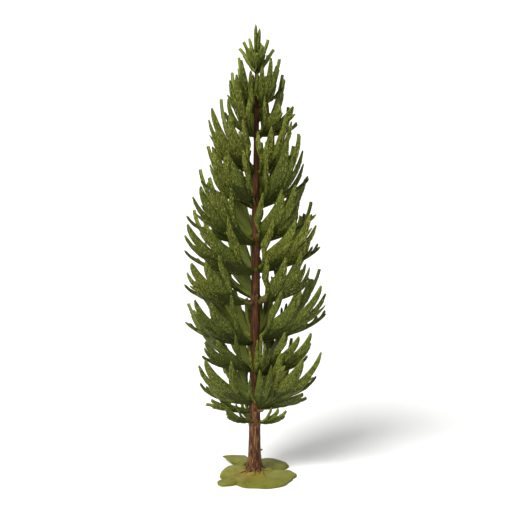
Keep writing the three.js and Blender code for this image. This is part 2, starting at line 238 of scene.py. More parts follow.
# Whorls from the ground up in mm, each (joint, half width, fingers, fronds)
# Fronds in mm, each (bearing in degrees anticlockwise from +X, reach, rise, length of a bare bough if any)
WHORLS = (
    (29.5, 5.5, 4, ((340, 18, 8), (112, 16, 7), (202, 19, 9))),
    (37.5, 8, 5, ((20, 30, 2), (88, 23, 7), (166, 27, 2))),
    (41.5, 13.5, 4, ((297, 16, 24), (342, 36, 29), (50, 32, 30), (124, 32, 30), (210, 36, 26))),
    (59, 12, 5, ((288, 14, 24), (344, 34, 23), (54, 33, 28), (112, 31, 26), (156, 39, 33), (212, 33, 18))),
    (75, 14.5, 5, ((340, 40, 30), (28, 39, 35), (118, 33, 33), (156, 36, 36), (208, 40, 25), (74, 24, 30))),
    (97.5, 15, 5, ((322, 33, 27, 5), (38, 37, 31), (110, 32, 28), (149, 36, 28), (206, 42, 22, 5))),
    (113.5, 15, 5, ((330, 37, 30), (32, 35, 33), (114, 32, 30), (156, 37, 30), (206, 42, 27))),
    (130, 14.5, 5, ((318, 31, 30), (30, 30, 31), (114, 26, 30), (156, 33, 34), (210, 37, 30))),
    (149, 13, 5, ((330, 29, 36), (32, 27, 34), (82, 21, 30), (156, 28, 30), (213, 31, 26))),
    (166, 11.5, 5, ((324, 21, 31), (44, 23, 33), (138, 25, 35), (205, 27, 32))),
    (183, 11, 4, ((338, 21, 14), (46, 19, 31), (132, 17, 31), (214, 18, 30))),
    (198, 6, 5, ((321, 12, 24), (40, 14, 26), (124, 14, 27), (217, 12, 25))),
)

# Leader, where a pair is (value at the bottom, change up to the top)
LEADER_RADIUS = (1.2 * MM, -0.35 * MM)
LEADER_SPRAYS = 8
LEADER_FIRST_BEARING = 20
LEADER_TURN = 137.5
LEADER_START = 0.4 * MM
LEADER_KEEL_OUT = 0.5
LEADER_KEEL_UP = 0.45
LEADER_JOINT = (215.8 * MM, 3.7 * MM)
LEADER_REACH = (9.4 * MM, -4.4 * MM)
LEADER_RISE = (11.5 * MM, 3.0 * MM)
LEADER_WIDTH = 2.8 * MM
LEADER_STEM = 0.8 * MM
LEADER_FINGERS = 3
# Spires in mm, each (lean to the right at its tip, height of its tip)
SPIRES = ((-0.3, 240), (1.7, 238))
SPIRE_LEAN = (0.1, 0.9)
SPIRE_ROUGH = 0.12
SPIRE_RIDGES = 7
SPIRE_TWIST = 6
SPIRE_ROUND = 10
SPIRE_ROWS = 18
SPIRE_RING = 14

# Flames: the fingers and the teeth between them, the fingers split deeper than in the plain solids
SPLIT_SHARE = 0.55
TIP_SWEEP = 0.75
TIP_DRAW_IN = 0.35
TIP_POINT = 0.6
TIP_POINT_POWER = 6
HEM_START = 0.05
HEM_CURL = 0.8
STEM_INSET = 0.06
CROTCH_SHARE = 0.7
FLAME_OVERLAP = 1.18
FLAME_SWELL = 1.6
FLAME_TAPER = 0.92
STEM_BUNDLE = 0.7
FINGER_TIP = 0.85 * MM
FINGER_ROWS = 16
# Section of a flame, domed on the outer face and flat on the inner one
FLAME_X = np.array((-1, -0.62, -0.22, 0.22, 0.62, 1, 0.8, 0.3, -0.3, -0.8))
FLAME_Z = np.array((0.5, 0.81, 0.98, 0.98, 0.81, 0.5, -0.75, -1, -1, -0.75))
FLAME_EDGE = 0.5
FLAME_OUTER = 5
# Paints of a blade by number: inner faces, outer faces, and painted shade on the outer faces of its lowest
# rows by the stem
INNER, OUTER, PAINTED_SHADE = range(3)
PAINTED_SHADE_ROWS = 6

# Teeth, where a pair is (least value, spread above it) in shares of the step, finger, gap or palm
TOOTH_STEP = (0.2, 0.6)
TOOTH_BEGIN = (0.25, 0.4)
TOOTH_DRIFT = (0.2, 0.4)
TOOTH_LENGTH = (0.2, 0.16)
TOOTH_HALF = (0.24, 0.14)
TOOTH_LIFT = (0.15, 0.5)
TOOTH_HIGHEST = 0.86
TOOTH_INWARD = 0.5
TOOTH_BEND = 1.4
TOOTH_ROOT_LIFT = 0.45 * PALM_THICK
TOOTH_TIP = 0.3 * MM
TOOTH_SWELL = 0.3
TOOTH_TAPER = 0.8
TOOTH_DOME = 0.8
TOOTH_FLAT = 0.5
TOOTH_THICK = 0.1 * MM
TOOTH_ROWS = 9

# Keels along a frond's lower edge
HEM_ROWS = 14
KEEL_ROWS = 26
KEEL_EDGE = 0.95
KEEL_DRIFT = 0.25
KEEL_LIFT = 0.3 * MM
KEEL_RADIUS = 1.35 * MM
KEEL_SHARE = 0.1
KEEL_TIP_SHARE = 0.72
KEEL_LEAVES = 0.6
KEEL_FLATTEN = np.array((1.0, 1.0, 0.75))
KEEL_REACH = 0.66
KEEL_REACH_RIGHT = 0.75
KEEL_REACH_SCATTER = 0.14
KEEL_LEAST = 0.2
KEEL_STEEPEST = 0.5
KEEL_BEND = 0.3
# Rounding of a tip: the radius times the root of a number just above 1 less a power of the way along it
TWIG_CLOSE = 1.04
TWIG_ROUND = 20
TWIG_RING = 8
STUB_CLOSE = 1.02

# Prongs that fork off the keels, where a pair is (least value, spread above it)
PRONG_ROWS = 9
PRONG_RADIUS = 0.95 * MM
PRONG_TIP_SHARE = 0.7
PRONG_PLACE = (0.5, 0.46)
PRONG_PLACE_SCATTER = 0.7
PRONG_LENGTH = (0.238, 0.204)
PRONG_ASIDE = 0.45
PRONG_LIFT = 0.45
PRONG_SCATTER = 0.5
SMALL_FROND = 8 * MM
SMALL_FROND_PRONGS = 3

# Scale leaves: tail, left, tip, right and crest, each (along, across, lift) in shares of the leaf
LEAF_SHAPE = np.array(((-0.5, 0, -0.5), (-0.1, -0.5, -0.4), (0.6, 0, 0.55), (-0.1, 0.5, -0.4), (-0.02, 0, 1)))
LEAF_FACES = np.array(((0, 3, 4), (3, 2, 4), (2, 1, 4), (1, 0, 4), (0, 1, 2), (0, 2, 3)))
SCALE_NAMES = ("scales_0", "scales_1", "scales_2", "scales_brushed", "scales_deep")
LEAF_UPRIGHT = 0.75
LEAF_SLANT = 0.16
LEAF_STEP = 0.004
# Size of a leaf as (least share, spread above it)
LEAF_SIZE = (0.75, 0.5)
# Where the leaves begin on a finger and on a tooth, and where they end
LEAF_FIRST_FINGER = 0.22
LEAF_FIRST_TOOTH = 0.08
LEAF_FIRST_SCATTER = 0.1
LEAF_LAST = 0.98
# Rows and columns of leaves, their pitch in shares of a leaf
LEAF_ROWS_LEAST = 4
LEAF_ROW_PITCH = 0.62
LEAF_ROW_SCATTER = 0.7
LEAF_COLUMNS_LEAST = 2
LEAF_COLUMN_PITCH = 0.95
LEAF_COLUMN_SCATTER = 0.3
LEAF_STAGGER = 0.25
LEAF_EDGE = 0.85
LEAF_HALF_LEAST = 0.75 * MM
WIDTH_STEPS = 12
KEEL_BULGE = 1.12
# Cover: sparse near the stem, a crowd (least share, spread above it) for each frond, thinner on the low ones
LEAF_COVER_LEAST = 0.2
LEAF_COVER_FULL = 0.62
LEAF_CROWD = (0.15, 0.85)
LEAF_CROWD_HEIGHTS = (55 * MM, 105 * MM)
LEAF_CROWD_SHARES = (0.15, 1)

# Mottled paints, each (noise grain, low and high level of its cut, strength of its relief and depth in mm)
MOTTLES = {
    "bough": ((900, 900, 500), 0.3, 0.7, 0.4, 0.4),
    "root": ((900, 900, 300), 0.25, 0.6, 0.3, 0.4),
    "nub": ((800, 800, 400), 0.35, 0.65, 0.3, 0.4),
    "blade": ((500, 500, 160), 0.25, 0.75, 0.3, 0.4),
    # face: the deep green ground is painted shade between the scale leaves
    "face": ((1500, 1500, 650), 0.38, 0.66, 0.6, 0.4),
    # palm: painted shade, mostly deep green, on the outer faces of a frond's lowest rows by the stem
    "palm": ((1500, 1500, 650), 0.5, 0.9, 0.6, 0.4),
    "twig": ((900, 900, 400), 0.4, 0.7, 0.3, 0.4),
    "scale": ((420, 420, 420), 0.05, 0.55, 0.1, 0.4),
    "cracks": ((1500, 1500, 110), 0.36, 0.56, 0.5, 0.5),
    "streaks": ((2100, 2100, 170), 0.5, 0.68, 0, 0),
    "patches": ((150, 150, 150), 0.33, 0.6, 0, 0),
    "specks": ((900, 900, 900), 0.25, 0.8, 0.45, 0.5),
}
MOTTLE_GROUP = "paint_mottle"
MOTTLE_INPUTS = {
    "Ground": "NodeSocketColor",
    "Brushed": "NodeSocketColor",
    "Grain": "NodeSocketVector",
    "Low": "NodeSocketFloat",
    "High": "NodeSocketFloat",
}
MOTTLE_OUTPUTS = {"Colour": "NodeSocketColor", "Mask": "NodeSocketFloat", "Height": "NodeSocketFloat"}
MOTTLE_NOISE = {"Scale": 1.0, "Detail": 3.0, "Roughness": 0.6}
SHADER = "Principled BSDF"
BLACK = (0, 0, 0, 1)
WHITE = (1, 1, 1, 1)
PAINT_GLOSS = 0.2
LEAF_ROUGHNESS = 0.62
BARK_ROUGHNESS = 0.58
TURF_ROUGHNESS = 0.66
FLOOR_ROUGHNESS = 0.8
FLOOR_COLOUR = (0.93, 0.93, 0.92, 1)
# Fading of a brushed paint: its cover falls between two distances, up the trunk or out from it
FADE_INPUTS = ("From Min", "From Max", "To Min", "To Max")
BARK_FADE = (6 * MM, 64 * MM, 0.9, 0.3)
SOIL_FADE = (-4 * MM, 16 * MM, 1.45, -0.35)
SOIL_SHIFT = (3 * MM, 4.5 * MM, 0)
LEVEL = (1, 1, 0)

# Stage
FLOOR_REACH = 1.3
SWEEP_START = 0.3
SWEEP_RADIUS = 0.35
SWEEP_ROWS = 16
BACKDROP_HEIGHT = 3.5
KEY_PLACE = (-0.8, -0.95, 1.5)
FILL_PLACE = (1.1, -0.9, 0.5)
LIGHT_SIZE = 0.9
LIGHT_AIM = (0.0, 0.0, 0.11)
CAMERA_SLOPE = 1 / 6
PICTURE = 512


@dataclass
class Frond:
    """One frond by the rule: where its keel runs, how its blade lies, and its fingers."""

    node: str
    tone: int
    seed: int
    turn: float
    joint: float
    start: float
    reach: float
    rise: float
    width: float
    stem: float
    fingers: np.ndarray
    keel_out: float = KEEL_OUT
    keel_up: float = KEEL_UP
    sheet: float = 1.0
    tilt: float = 0.0
    lean: float = 0.0
    slope: float = 0.0
    bark: float = 0.0
    bough: float = 0.0


@dataclass
class Fingers:
    """The fingers of one frond, as columns of one value for each finger."""

    side: np.ndarray
    left: np.ndarray
    right: np.ndarray
    tip: np.ndarray
    crotch: np.ndarray
    left_crotch: np.ndarray
    right_crotch: np.ndarray
    curl: np.ndarray


@dataclass
class Teeth:
    """The teeth of one frond: the finger that each leaves, and where it begins, ends, drifts and lifts."""

    side: np.ndarray
    tip: np.ndarray
    crotch: np.ndarray
    curl: np.ndarray
    begin: np.ndarray
    end: np.ndarray
    drift: np.ndarray
    half: np.ndarray
    lift: np.ndarray


def painted(red, green, blue):
    """A paint colour from its screen values of 0 to 255, as a linear colour with full cover."""
    screen = np.array((red, green, blue)) / SCREEN_FULL
    curve = ((screen + SCREEN_OFFSET) / (1 + SCREEN_OFFSET)) ** SCREEN_POWER
    linear = np.where(screen <= SCREEN_TOE, screen / SCREEN_TOE_SLOPE, curve)
    return (*linear.tolist(), 1.0)


def ramp(start_and_change, share):
    """A start value plus a share of its change."""
    start, change = start_and_change
    return start + change * share


def beyond(share, start):
    """How far a share has gone from a start to 1, kept between 0 and 1."""
    return np.clip((share - start) / (1 - start), 0, 1)


def unit(vectors):
    """Vectors divided by their lengths."""
    return vectors / np.maximum(np.linalg.norm(vectors, axis=-1, keepdims=True), SMALLEST)


def turns(count):
    """Angles of a ring of points, spread evenly over a full turn."""
    return np.linspace(0, 2 * np.pi, count, endpoint=False)


def round_tip(share, power, close):
    """Rounding of a tip: the root of a number just above 1 less a power of the way along it."""
    return np.sqrt(close - share**power)


def twig_taper(rows, tip_share):
    """Radius along a twig as a share of its root's: an even taper with a rounded tip."""
    share = np.linspace(0, 1, rows)
    return (1 - (1 - tip_share) * share) * round_tip(share, TWIG_ROUND, TWIG_CLOSE)


def lottery(seed):
    """Repeatable stream of numbers from 0 to 1: each state is the last one times a step, over a modulus."""
    state = seed * LOTTERY_STIR % LOTTERY_MODULUS

    def draw():
        nonlocal state
        state = state * LOTTERY_STEP % LOTTERY_MODULUS
        return state / LOTTERY_MODULUS

    draw()
    draw()
    return draw


def trunk_axis(height):
    """Sideways sway of the trunk: a half cosine wave of the height."""
    return -SWAY * np.cos(np.pi * height / SWAY_HEIGHT)


def flare(height):
    """Share of the root flare at a height: it dies away above the foot as an exponential."""
    return np.exp(-(np.maximum(height, TRUNK_FOOT) - TRUNK_FOOT) / FLARE_HEIGHT)


def trunk_radius(height, breast_radius):
    """Taper as a power of the height left, plus a root flare that dies away, plus a collar at each whorl."""
    share = np.clip((height - BREAST_HEIGHT) / (TRUNK_TIP - BREAST_HEIGHT), 0, 1)
    stem = TRUNK_TIP_RADIUS + (breast_radius - TRUNK_TIP_RADIUS) * (1 - share) ** TRUNK_TAPER
    swell = np.zeros_like(stem)
    for joint, *_ in WHORLS:
        away = np.abs(height - joint * MM) / SWELLING_HALF
        swell = np.maximum(swell, SWELLING * np.maximum(0, 1 - away))
    return stem + FLARE_RADIUS * flare(height) + swell * np.minimum(1, stem / SWELLING_HALF)


def round_trunk(axis_height, out, turn, height):
    """Points at a distance out from the trunk's axis, on a bearing and at a height."""
    x = trunk_axis(axis_height) + out * np.cos(turn)
    return np.stack(np.broadcast_arrays(x, out * np.sin(turn), height), axis=-1)


def finger_plan(count, draw):
    """Rows of side, tip, crotch and curl: fingers spread evenly with scatter, the outer ones shorter."""
    rows = []
    for i in range(count):
        even = 2 * i / (count - 1) - 1
        side = even * (count - 1) / count + (draw() - 0.5) * SIDE_SCATTER / count
        shortening = SIDE_DROP * abs(even) ** SIDE_POWER + TIP_SCATTER * draw()
        tip = 1 if i == count // 2 else 1 - shortening
        free = FREE_SHARE * ramp(FREE_LENGTH, draw())
        curl = CURL * (draw() - CURL_MIDDLE)
        rows.append((side, tip, tip - free, curl))
    return np.array(rows).T


def frond_plans(settings):
    """Every frond of the whorls, with its joint scattered in height and its blade rolled by its bearing."""
    plans = []
    for whorl, (whorl_height, width, count, fronds) in enumerate(WHORLS):
        draw = lottery(SEED + whorl)
        joint = whorl_height * MM
        longest = max(row[1] for row in fronds)
        bark = float(trunk_radius(joint, settings.trunk.breast_radius))
        for place, (bearing, reach, rise, *bare) in enumerate(fronds):
            turn = math.radians(bearing)
            bough = sum(bare) * MM
            blade = width * MM * (SMALL_FROND_WIDTH + (1 - SMALL_FROND_WIDTH) * reach / longest)
            blade *= BEHIND_SHARE if math.sin(turn) > BEHIND_TRUNK and blade > BEHIND_WIDE else 1
            blade *= TOP_WIDTH if joint > TOP_HEIGHT else 1
            stem = min(STEM_HALF, STEM_SHARE * blade)
            slope = math.atan2(KEEL_UP * rise * MM, KEEL_OUT * (reach * MM - bark))
            clear = CLEAR_GAP + STEM_ROOM * (stem + PALM_EDGE) * math.sin(slope)
            roll = FRONT_ROLL if math.sin(turn) < 0 else REAR_ROLL
            tilt = math.radians(roll * math.cos(turn))
            seed = FINGER_SEED + whorl * FINGER_SEED_STEP + place
            plans.append(
                Frond(
                    node=f"frond_{whorl + 1:02d}_{place + 1}",
                    tone=(whorl + place) % TONES,
                    seed=seed,
                    turn=turn,
                    joint=joint + JOINT_SCATTER * (2 * draw() - 1),
                    start=bark + clear + (bough + CLEAR_GAP if bough else 0.0),
                    reach=reach * MM,
                    rise=rise * MM,
                    width=blade,
                    stem=stem,
                    fingers=finger_plan(count, lottery(seed)),
                    sheet=ANTLER_SHEET if joint < ANTLER_HEIGHT else 1.0,
                    tilt=tilt,
                    lean=-LEAN * math.sin(tilt),
                    slope=slope,
                    bark=bark,
                    bough=bough,
                )
            )
    return plans


def leader_plans():
    """The short sprays round the leader, each a turn further round and a step higher."""
    plans = []
    for i in range(LEADER_SPRAYS):
        share = i / (LEADER_SPRAYS - 1)
        plans.append(
            Frond(
                node="leader",
                tone=i % TONES,
                seed=LEADER_SEED + i,
                turn=math.radians(LEADER_FIRST_BEARING + i * LEADER_TURN),
                joint=ramp(LEADER_JOINT, share),
                start=LEADER_START,
                reach=ramp(LEADER_REACH, share),
                rise=ramp(LEADER_RISE, share),
                width=LEADER_WIDTH,
                stem=LEADER_STEM,
                fingers=finger_plan(LEADER_FINGERS, lottery(LEADER_SEED + i)),
                keel_out=LEADER_KEEL_OUT,
                keel_up=LEADER_KEEL_UP,
            )
        )
    return plans


def blade_place(frond, along, across, out, sweep):
    """A point of the blade in space: along a quadratic keel in radius and height, across it and out from it.

    The sheet is dished by the square of its distance across, its lower hem curls under, and it is rolled
    about the keel by the frond's tilt and turned to the frond's bearing. sweep lifts it and draws it in.
    """
    run = frond.reach - frond.start
    first = np.array((frond.start, frond.joint))
    middle = np.array((frond.start + frond.keel_out * run, frond.joint + frond.keel_up * frond.rise))
    last = np.array((frond.reach, frond.joint + frond.rise))
    t = np.asarray(along)[..., None]
    point = (1 - t) ** 2 * first + 2 * (1 - t) * t * middle + t**2 * last
    ahead = unit((1 - t) * (middle - first) + t * (last - middle))
    below = np.maximum(0, across * np.sign(frond.tilt) / frond.width - HEM_START)
    hem = HEM_CURL * abs(math.sin(frond.tilt)) * frond.width * below**2
    dished = out - CUP * across**2 / frond.width - hem
    side = across * math.cos(frond.tilt) - dished * math.sin(frond.tilt)
    down = across * math.sin(frond.tilt) + dished * math.cos(frond.tilt)
    radius = point[..., 0] + ahead[..., 1] * down - TIP_DRAW_IN * sweep
    height = point[..., 1] - ahead[..., 0] * down + sweep
    x = trunk_axis(frond.joint) + radius * math.cos(frond.turn) - side * math.sin(frond.turn)
    y = radius * math.sin(frond.turn) + side * math.cos(frond.turn)
    return np.stack((x, y, height), axis=-1)


def column(values):
    """Values as one row for each shape, ready to spread over a grid of points."""
    return np.asarray(values).reshape(-1, 1, 1)


def fingers_of(frond):
    """The frond's fingers with the seams that they share: halfway between neighbours, at the lower crotch."""
    side, tip, crotch, curl = frond.fingers
    edge = 1 / len(side)
    seam = np.concatenate(((side[0] - edge,), (side[1:] + side[:-1]) / 2, (side[-1] + edge,)))
    split = np.concatenate((crotch[:1], np.minimum(crotch[1:], crotch[:-1]), crotch[-1:]))
    values = (side, side - seam[:-1], seam[1:] - side, tip, crotch, split[:-1], split[1:], curl)
    return Fingers(*map(column, values))


def teeth_of(frond, teeth):
    """Teeth that leave each finger's outer face above its stem and drift to one side of it.

    Each value is a least one plus a chance share of its spread, and the outermost drift less far outwards.
    """
    count = len(frond.fingers[0])
    owner = np.repeat(np.arange(count), teeth)
    side, tip, crotch, curl = frond.fingers[:, owner]
    gap = 2 * frond.width * PALM_OPEN / count
    rng = np.random.default_rng(frond.seed)

    def chance(least_and_spread=(0, 1)):
        return ramp(least_and_spread, rng.random(len(owner)))

    step = (np.tile(np.arange(teeth), count) + chance(TOOTH_STEP)) / teeth
    begin = tip * ramp(TOOTH_BEGIN, step)
    hand = np.where(chance() < 0.5, -1, 1)
    drift = hand * gap * chance(TOOTH_DRIFT)
    outward = ((owner == 0) & (drift < 0)) | ((owner == count - 1) & (drift > 0))
    drift = np.where(outward, TOOTH_INWARD * drift, drift)
    end = np.minimum(begin + chance(TOOTH_LENGTH), TOOTH_HIGHEST * tip)
    half = gap * chance(TOOTH_HALF)
    lift = PALM_THICK * chance(TOOTH_LIFT)
    return Teeth(*map(column, (side, tip, crotch, curl, begin, end, drift, half, lift)))


def tip_sweep(frond, tip, free):
    """How far a finger's free end turns up: more for shorter fingers, by the square of the way along it."""
    return TIP_SWEEP * frond.width * (1 - tip) * free**2


def rib_place(frond, side, palm, free):
    """Where a finger's rib lies across the blade: bundled in the stem, then opening by a power of the way."""
    opened = PALM_OPEN * palm**PALM_POWER + (1 - PALM_OPEN) * (1 - (1 - free) ** 2)
    rounded = np.interp(palm, PALM_SHARE, PALM_ROUND)
    return (side + frond.lean) * frond.width * opened + side * rounded * frond.stem


def finger_half(frond, fingers, share, x):
    """Half width of a finger on the side that x is on: out to the seam in the palm, then a flame's taper."""
    palm = np.clip(share / CROTCH_SHARE, 0, 1)
    free = beyond(share, CROTCH_SHARE)
    flame = beyond(share, SPLIT_SHARE)
    seam = np.where(x < 0, fingers.left, fingers.right)
    sheet = FLAME_OVERLAP * frond.sheet * PALM_OPEN * palm**PALM_POWER * frond.width * seam
    bundle = STEM_BUNDLE * frond.stem * np.interp(palm, PALM_SHARE, PALM_ROUND)
    tip = FINGER_TIP * free * (1 - TIP_POINT * free**TIP_POINT_POWER)
    return sheet * (1 - flame**FLAME_SWELL) ** FLAME_TAPER + bundle + tip


def finger_points(frond, fingers, share, x, z, lift=0.0):
    """Points of a finger: a section carried along its rib, with its edges on the seams of the palm.

    share runs from the stem through the crotch to the tip, x from -1 to 1 across, and z is the share of
    the thickness, above 0 on the domed outer face and below 0 on the flat inner one. lift stands off.
    """
    share = np.clip(share, 0, 1)
    climb = share / CROTCH_SHARE * (1 + STEM_INSET) - STEM_INSET
    palm = np.clip(climb, 0, 1)
    free = beyond(share, CROTCH_SHARE)
    split = np.where(x < 0, fingers.left_crotch, fingers.right_crotch)
    crotch = fingers.crotch + np.minimum(np.abs(x), 1) * (split - fingers.crotch)
    along = np.where(share < CROTCH_SHARE, climb * crotch, crotch + (fingers.tip - crotch) * free)
    bulge = np.interp(palm, PALM_SHARE, PALM_ROUND) * (frond.stem + PALM_EDGE) + FINGER_TIP * free
    rib = np.interp(palm, PALM_SHARE, PALM_RIB) * PALM_THICK * (1 - free) + bulge
    web = np.interp(palm, PALM_SHARE, PALM_WEB) * PALM_THICK * (1 - free) + bulge
    out = fingers.curl * free**2 + np.where(z > 0, z * rib, z * web) + lift
    across = rib_place(frond, fingers.side, palm, free) + x * finger_half(frond, fingers, share, x)
    return blade_place(frond, along, across, out, tip_sweep(frond, fingers.tip, free))


def tooth_half(teeth, share):
    """Half width of a tooth: it swells from its root by a square root and tapers to its tip by a power."""
    return teeth.half * np.sqrt(np.minimum(share / TOOTH_SWELL, 1)) * (1 - share) ** TOOTH_TAPER + TOOTH_TIP


def tooth_points(frond, teeth, share, x, z):
    """Points of a tooth: a section carried along its finger's rib, drifting off it sideways by a power."""
    share = np.clip(share, 0, 1)
    along = teeth.begin + (teeth.end - teeth.begin) * share
    palm = np.clip(along / teeth.crotch, 0, 1)
    free = np.clip((along - teeth.crotch) / (teeth.tip - teeth.crotch), 0, 1)
    half = tooth_half(teeth, share)
    across = rib_place(frond, teeth.side, palm, free) + teeth.drift * share**TOOTH_BEND + x * half
    thick = np.where(z > 0, TOOTH_DOME, TOOTH_FLAT) * half + TOOTH_THICK
    out = teeth.curl * free**2 + TOOTH_ROOT_LIFT + teeth.lift * share + z * thick
    return blade_place(frond, along, across, out, tip_sweep(frond, teeth.tip, free))


def keel_path(frond, rng):
    """Middle line of a frond's lower edge, which leaves the sheet and runs on outwards.

    It follows the lowest finger's edge, then runs on straight and is bent up by the square of the way.
    """
    under = 1 if math.sin(frond.tilt) >= 0 else -1
    low = len(frond.fingers[0]) - 1 if under > 0 else 0
    edge = Fingers(**{name: values[low : low + 1] for name, values in vars(fingers_of(frond)).items()})
    share = np.linspace(0, KEEL_LEAVES, HEM_ROWS)[None, :, None]
    x = KEEL_EDGE * under * np.minimum(1, share / KEEL_DRIFT)
    hem = finger_points(frond, edge, share, x, 0.0, KEEL_LIFT)[0, :, 0]
    outward = np.array((math.cos(frond.turn), math.sin(frond.turn), 0.0))
    ahead = unit((hem[-1] - hem[-3]) * KEEL_FLATTEN)
    reach = KEEL_REACH_RIGHT if outward[0] > 0 > outward[1] else KEEL_REACH
    left = frond.reach * (reach + KEEL_REACH_SCATTER * rng.random()) - hem[-1] @ outward
    length = max(KEEL_LEAST * frond.width, left / max(KEEL_STEEPEST, ahead @ outward))
    t = np.linspace(0, 1, KEEL_ROWS - HEM_ROWS + 1)[1:, None]
    return np.concatenate((hem, hem[-1] + length * (t * ahead + KEEL_BEND * t**2 * UPWARD)))


def prongs_of(frond, keel, many, rng):
    """Paths of prongs that fork off a keel by turns to either side, heading on along it and upwards.

    Each runs straight along its heading and is bent up by the square of the way along it.
    """
    ahead = unit(np.gradient(keel, axis=0))
    share = np.linspace(0, 1, PRONG_ROWS)[:, None]
    paths = []
    for number in range(many):
        place = ramp(PRONG_PLACE, (number + PRONG_PLACE_SCATTER * rng.random()) / many)
        row = int(round(place * (KEEL_ROWS - 1)))
        beside = np.cross(ahead[row], UPWARD) * (-1) ** number
        heading = unit(ahead[row] + PRONG_ASIDE * beside + PRONG_SCATTER * (rng.random(3) - 0.5))
        length = frond.width * ramp(PRONG_LENGTH, rng.random())
        paths.append(keel[row] + length * (share * heading + PRONG_LIFT * share**2 * UPWARD))
    return paths


def turned(x, y, angle):
    """A place in the level plane turned about the origin by an angle."""
    return x * math.cos(angle) - y * math.sin(angle), x * math.sin(angle) + y * math.cos(angle)


def lobe_top(share, crown):
    """Top of a lobe at a share of its radius: its rim plus a crown that falls in straight steps."""
    return BASE_RIM + (crown * MM - BASE_RIM) * np.interp(share, LOBE_RADII, LOBE_CROWN)


def base_height(x, y):
    """Top of the turf at a place: the highest of its lobes."""
    top = np.full(np.shape(x), BASE_RIM)
    for lobe_x, lobe_y, half_length, half_width, lobe_turn, crown in BASE_LOBES:
        length, width = turned(x - lobe_x * MM, y - lobe_y * MM, -math.radians(lobe_turn))
        share = np.hypot(length / (half_length * MM), width / (half_width * MM))
        top = np.where(share < 1, np.maximum(top, lobe_top(share, crown)), top)
    return top


def lobe_points(number, settings):
    """A turf lobe on an ellipse: rows out along its flat underside, then up over its crown to the middle.

    The edge is waved by a sum of sines, and the bumps are a product and a sum of sines that fade at the edge.
    """
    x, y, half_length, half_width, lobe_turn, crown = BASE_LOBES[number]
    turn = turns(LOBE_RING)[None]
    wave = sum(part * np.sin(count * turn + shift * number) for count, part, shift in EDGE_WAVES)
    above = np.linspace(1, LOBE_CENTRE, LOBE_ROWS - len(LOBE_UNDER))
    share = np.concatenate((LOBE_UNDER, above))[:, None]
    reach = share * (1 + settings.wave * (wave - 1))
    length = reach * half_length * MM * np.cos(turn)
    width = reach * half_width * MM * np.sin(turn)
    across, deep = turned(length, width, math.radians(lobe_turn))
    across = across + x * MM
    deep = deep + y * MM
    bumps = np.sin(across / BUMP_ACROSS + number) * np.sin(deep / BUMP_DEEP)
    bumps = bumps + BUMP_FINE_SHARE * np.sin((across + deep) / BUMP_FINE)
    top = lobe_top(share, crown) + settings.relief * bumps * np.minimum(1, BUMP_FADE * (1 - share))
    under = np.arange(LOBE_ROWS)[:, None] < len(LOBE_UNDER)
    return np.stack((across, deep, np.where(under, 0, np.maximum(top, 0))), axis=-1)


def flap_points():
    """The pointed flap: an outline in straight steps, thinning to its tip, with a sine crown and ripple."""
    share = np.linspace(0, 1, FLAP_ROWS)[:, None]
    stations, low, high = np.array(FLAP_OUTLINE).T
    lower = np.interp(share, stations, low) * FLAP_WIDTH
    upper = np.interp(share, stations, high) * FLAP_WIDTH
    edge = np.linspace(0, 1, FLAP_ACROSS)
    place = np.concatenate((edge, edge[::-1]))[None]
    under = np.repeat((1, 0), FLAP_ACROSS)[None]
    run = np.subtract(FLAP_TIP, FLAP_ROOT)
    along = share * math.hypot(*run)
    height = FLAP_TOP - FLAP_THICK * under * (1 - FLAP_THINNING * share)
    height = height + FLAP_RIPPLE * np.sin(along / FLAP_RIPPLE_LENGTH)
    height = height + FLAP_CROWN * np.sin(np.pi * place) * (1 - under) * (1 - share)
    x, y = turned(along, lower + (upper - lower) * place, math.atan2(run[1], run[0]))
    return np.stack((FLAP_ROOT[0] + x, FLAP_ROOT[1] + y, height), axis=-1)


def tube(path, radius, ring, rough=1.0):
    """A round profile carried along a path in space, its radius given for each point of the path.

    The profile stands square to the path: one axis is level and the other completes the frame.
    """
    ahead = unit(np.gradient(path, axis=0))
    level = unit(np.cross(UPWARD, ahead))
    upper = np.cross(ahead, level)
    turn = turns(ring)[:, None]
    side = np.cos(turn) * level[:, None] + np.sin(turn) * upper[:, None]
    reach = radius[:, None] * rough
    return path[:, None] + reach[..., None] * side


def tube_faces(tubes, rows, ring):
    """Corner lists of closed tubes on grids of rows by ring points: quads round the sides and two caps."""
    start = np.arange(tubes)[:, None, None] * rows * ring
    row = np.arange(rows - 1)[None, :, None] * ring
    here = np.arange(ring)[None, None, :]
    after = (here + 1) % ring
    quads = np.stack((row + here, row + after, row + ring + after, row + ring + here), axis=-1)
    quads = (start[..., None] + quads).reshape(-1, 4)
    first = (start[:, 0] + np.arange(ring)[::-1][None]).reshape(-1, ring)
    last = (start[:, 0] + (rows - 1) * ring + np.arange(ring)[None]).reshape(-1, ring)
    return quads, first, last


def outer_paints(tubes, rows, ring, painted_shade_rows):
    """Paints for the faces of flames: painted shade low on the domed outer faces, outer above, inner on the
    rest.
    """
    number = np.arange(tubes * (rows - 1) * ring)
    outer = number % ring < FLAME_OUTER
    deep = number // ring % (rows - 1) < painted_shade_rows
    return np.where(outer, np.where(deep, PAINTED_SHADE, OUTER), INNER), INNER, INNER


def outer_height(x):
    """Share of the thickness on a flame's outer face: a parabola above its edges."""
    return FLAME_EDGE + (1 - FLAME_EDGE) * (1 - np.clip(x, -1, 1) ** 2)


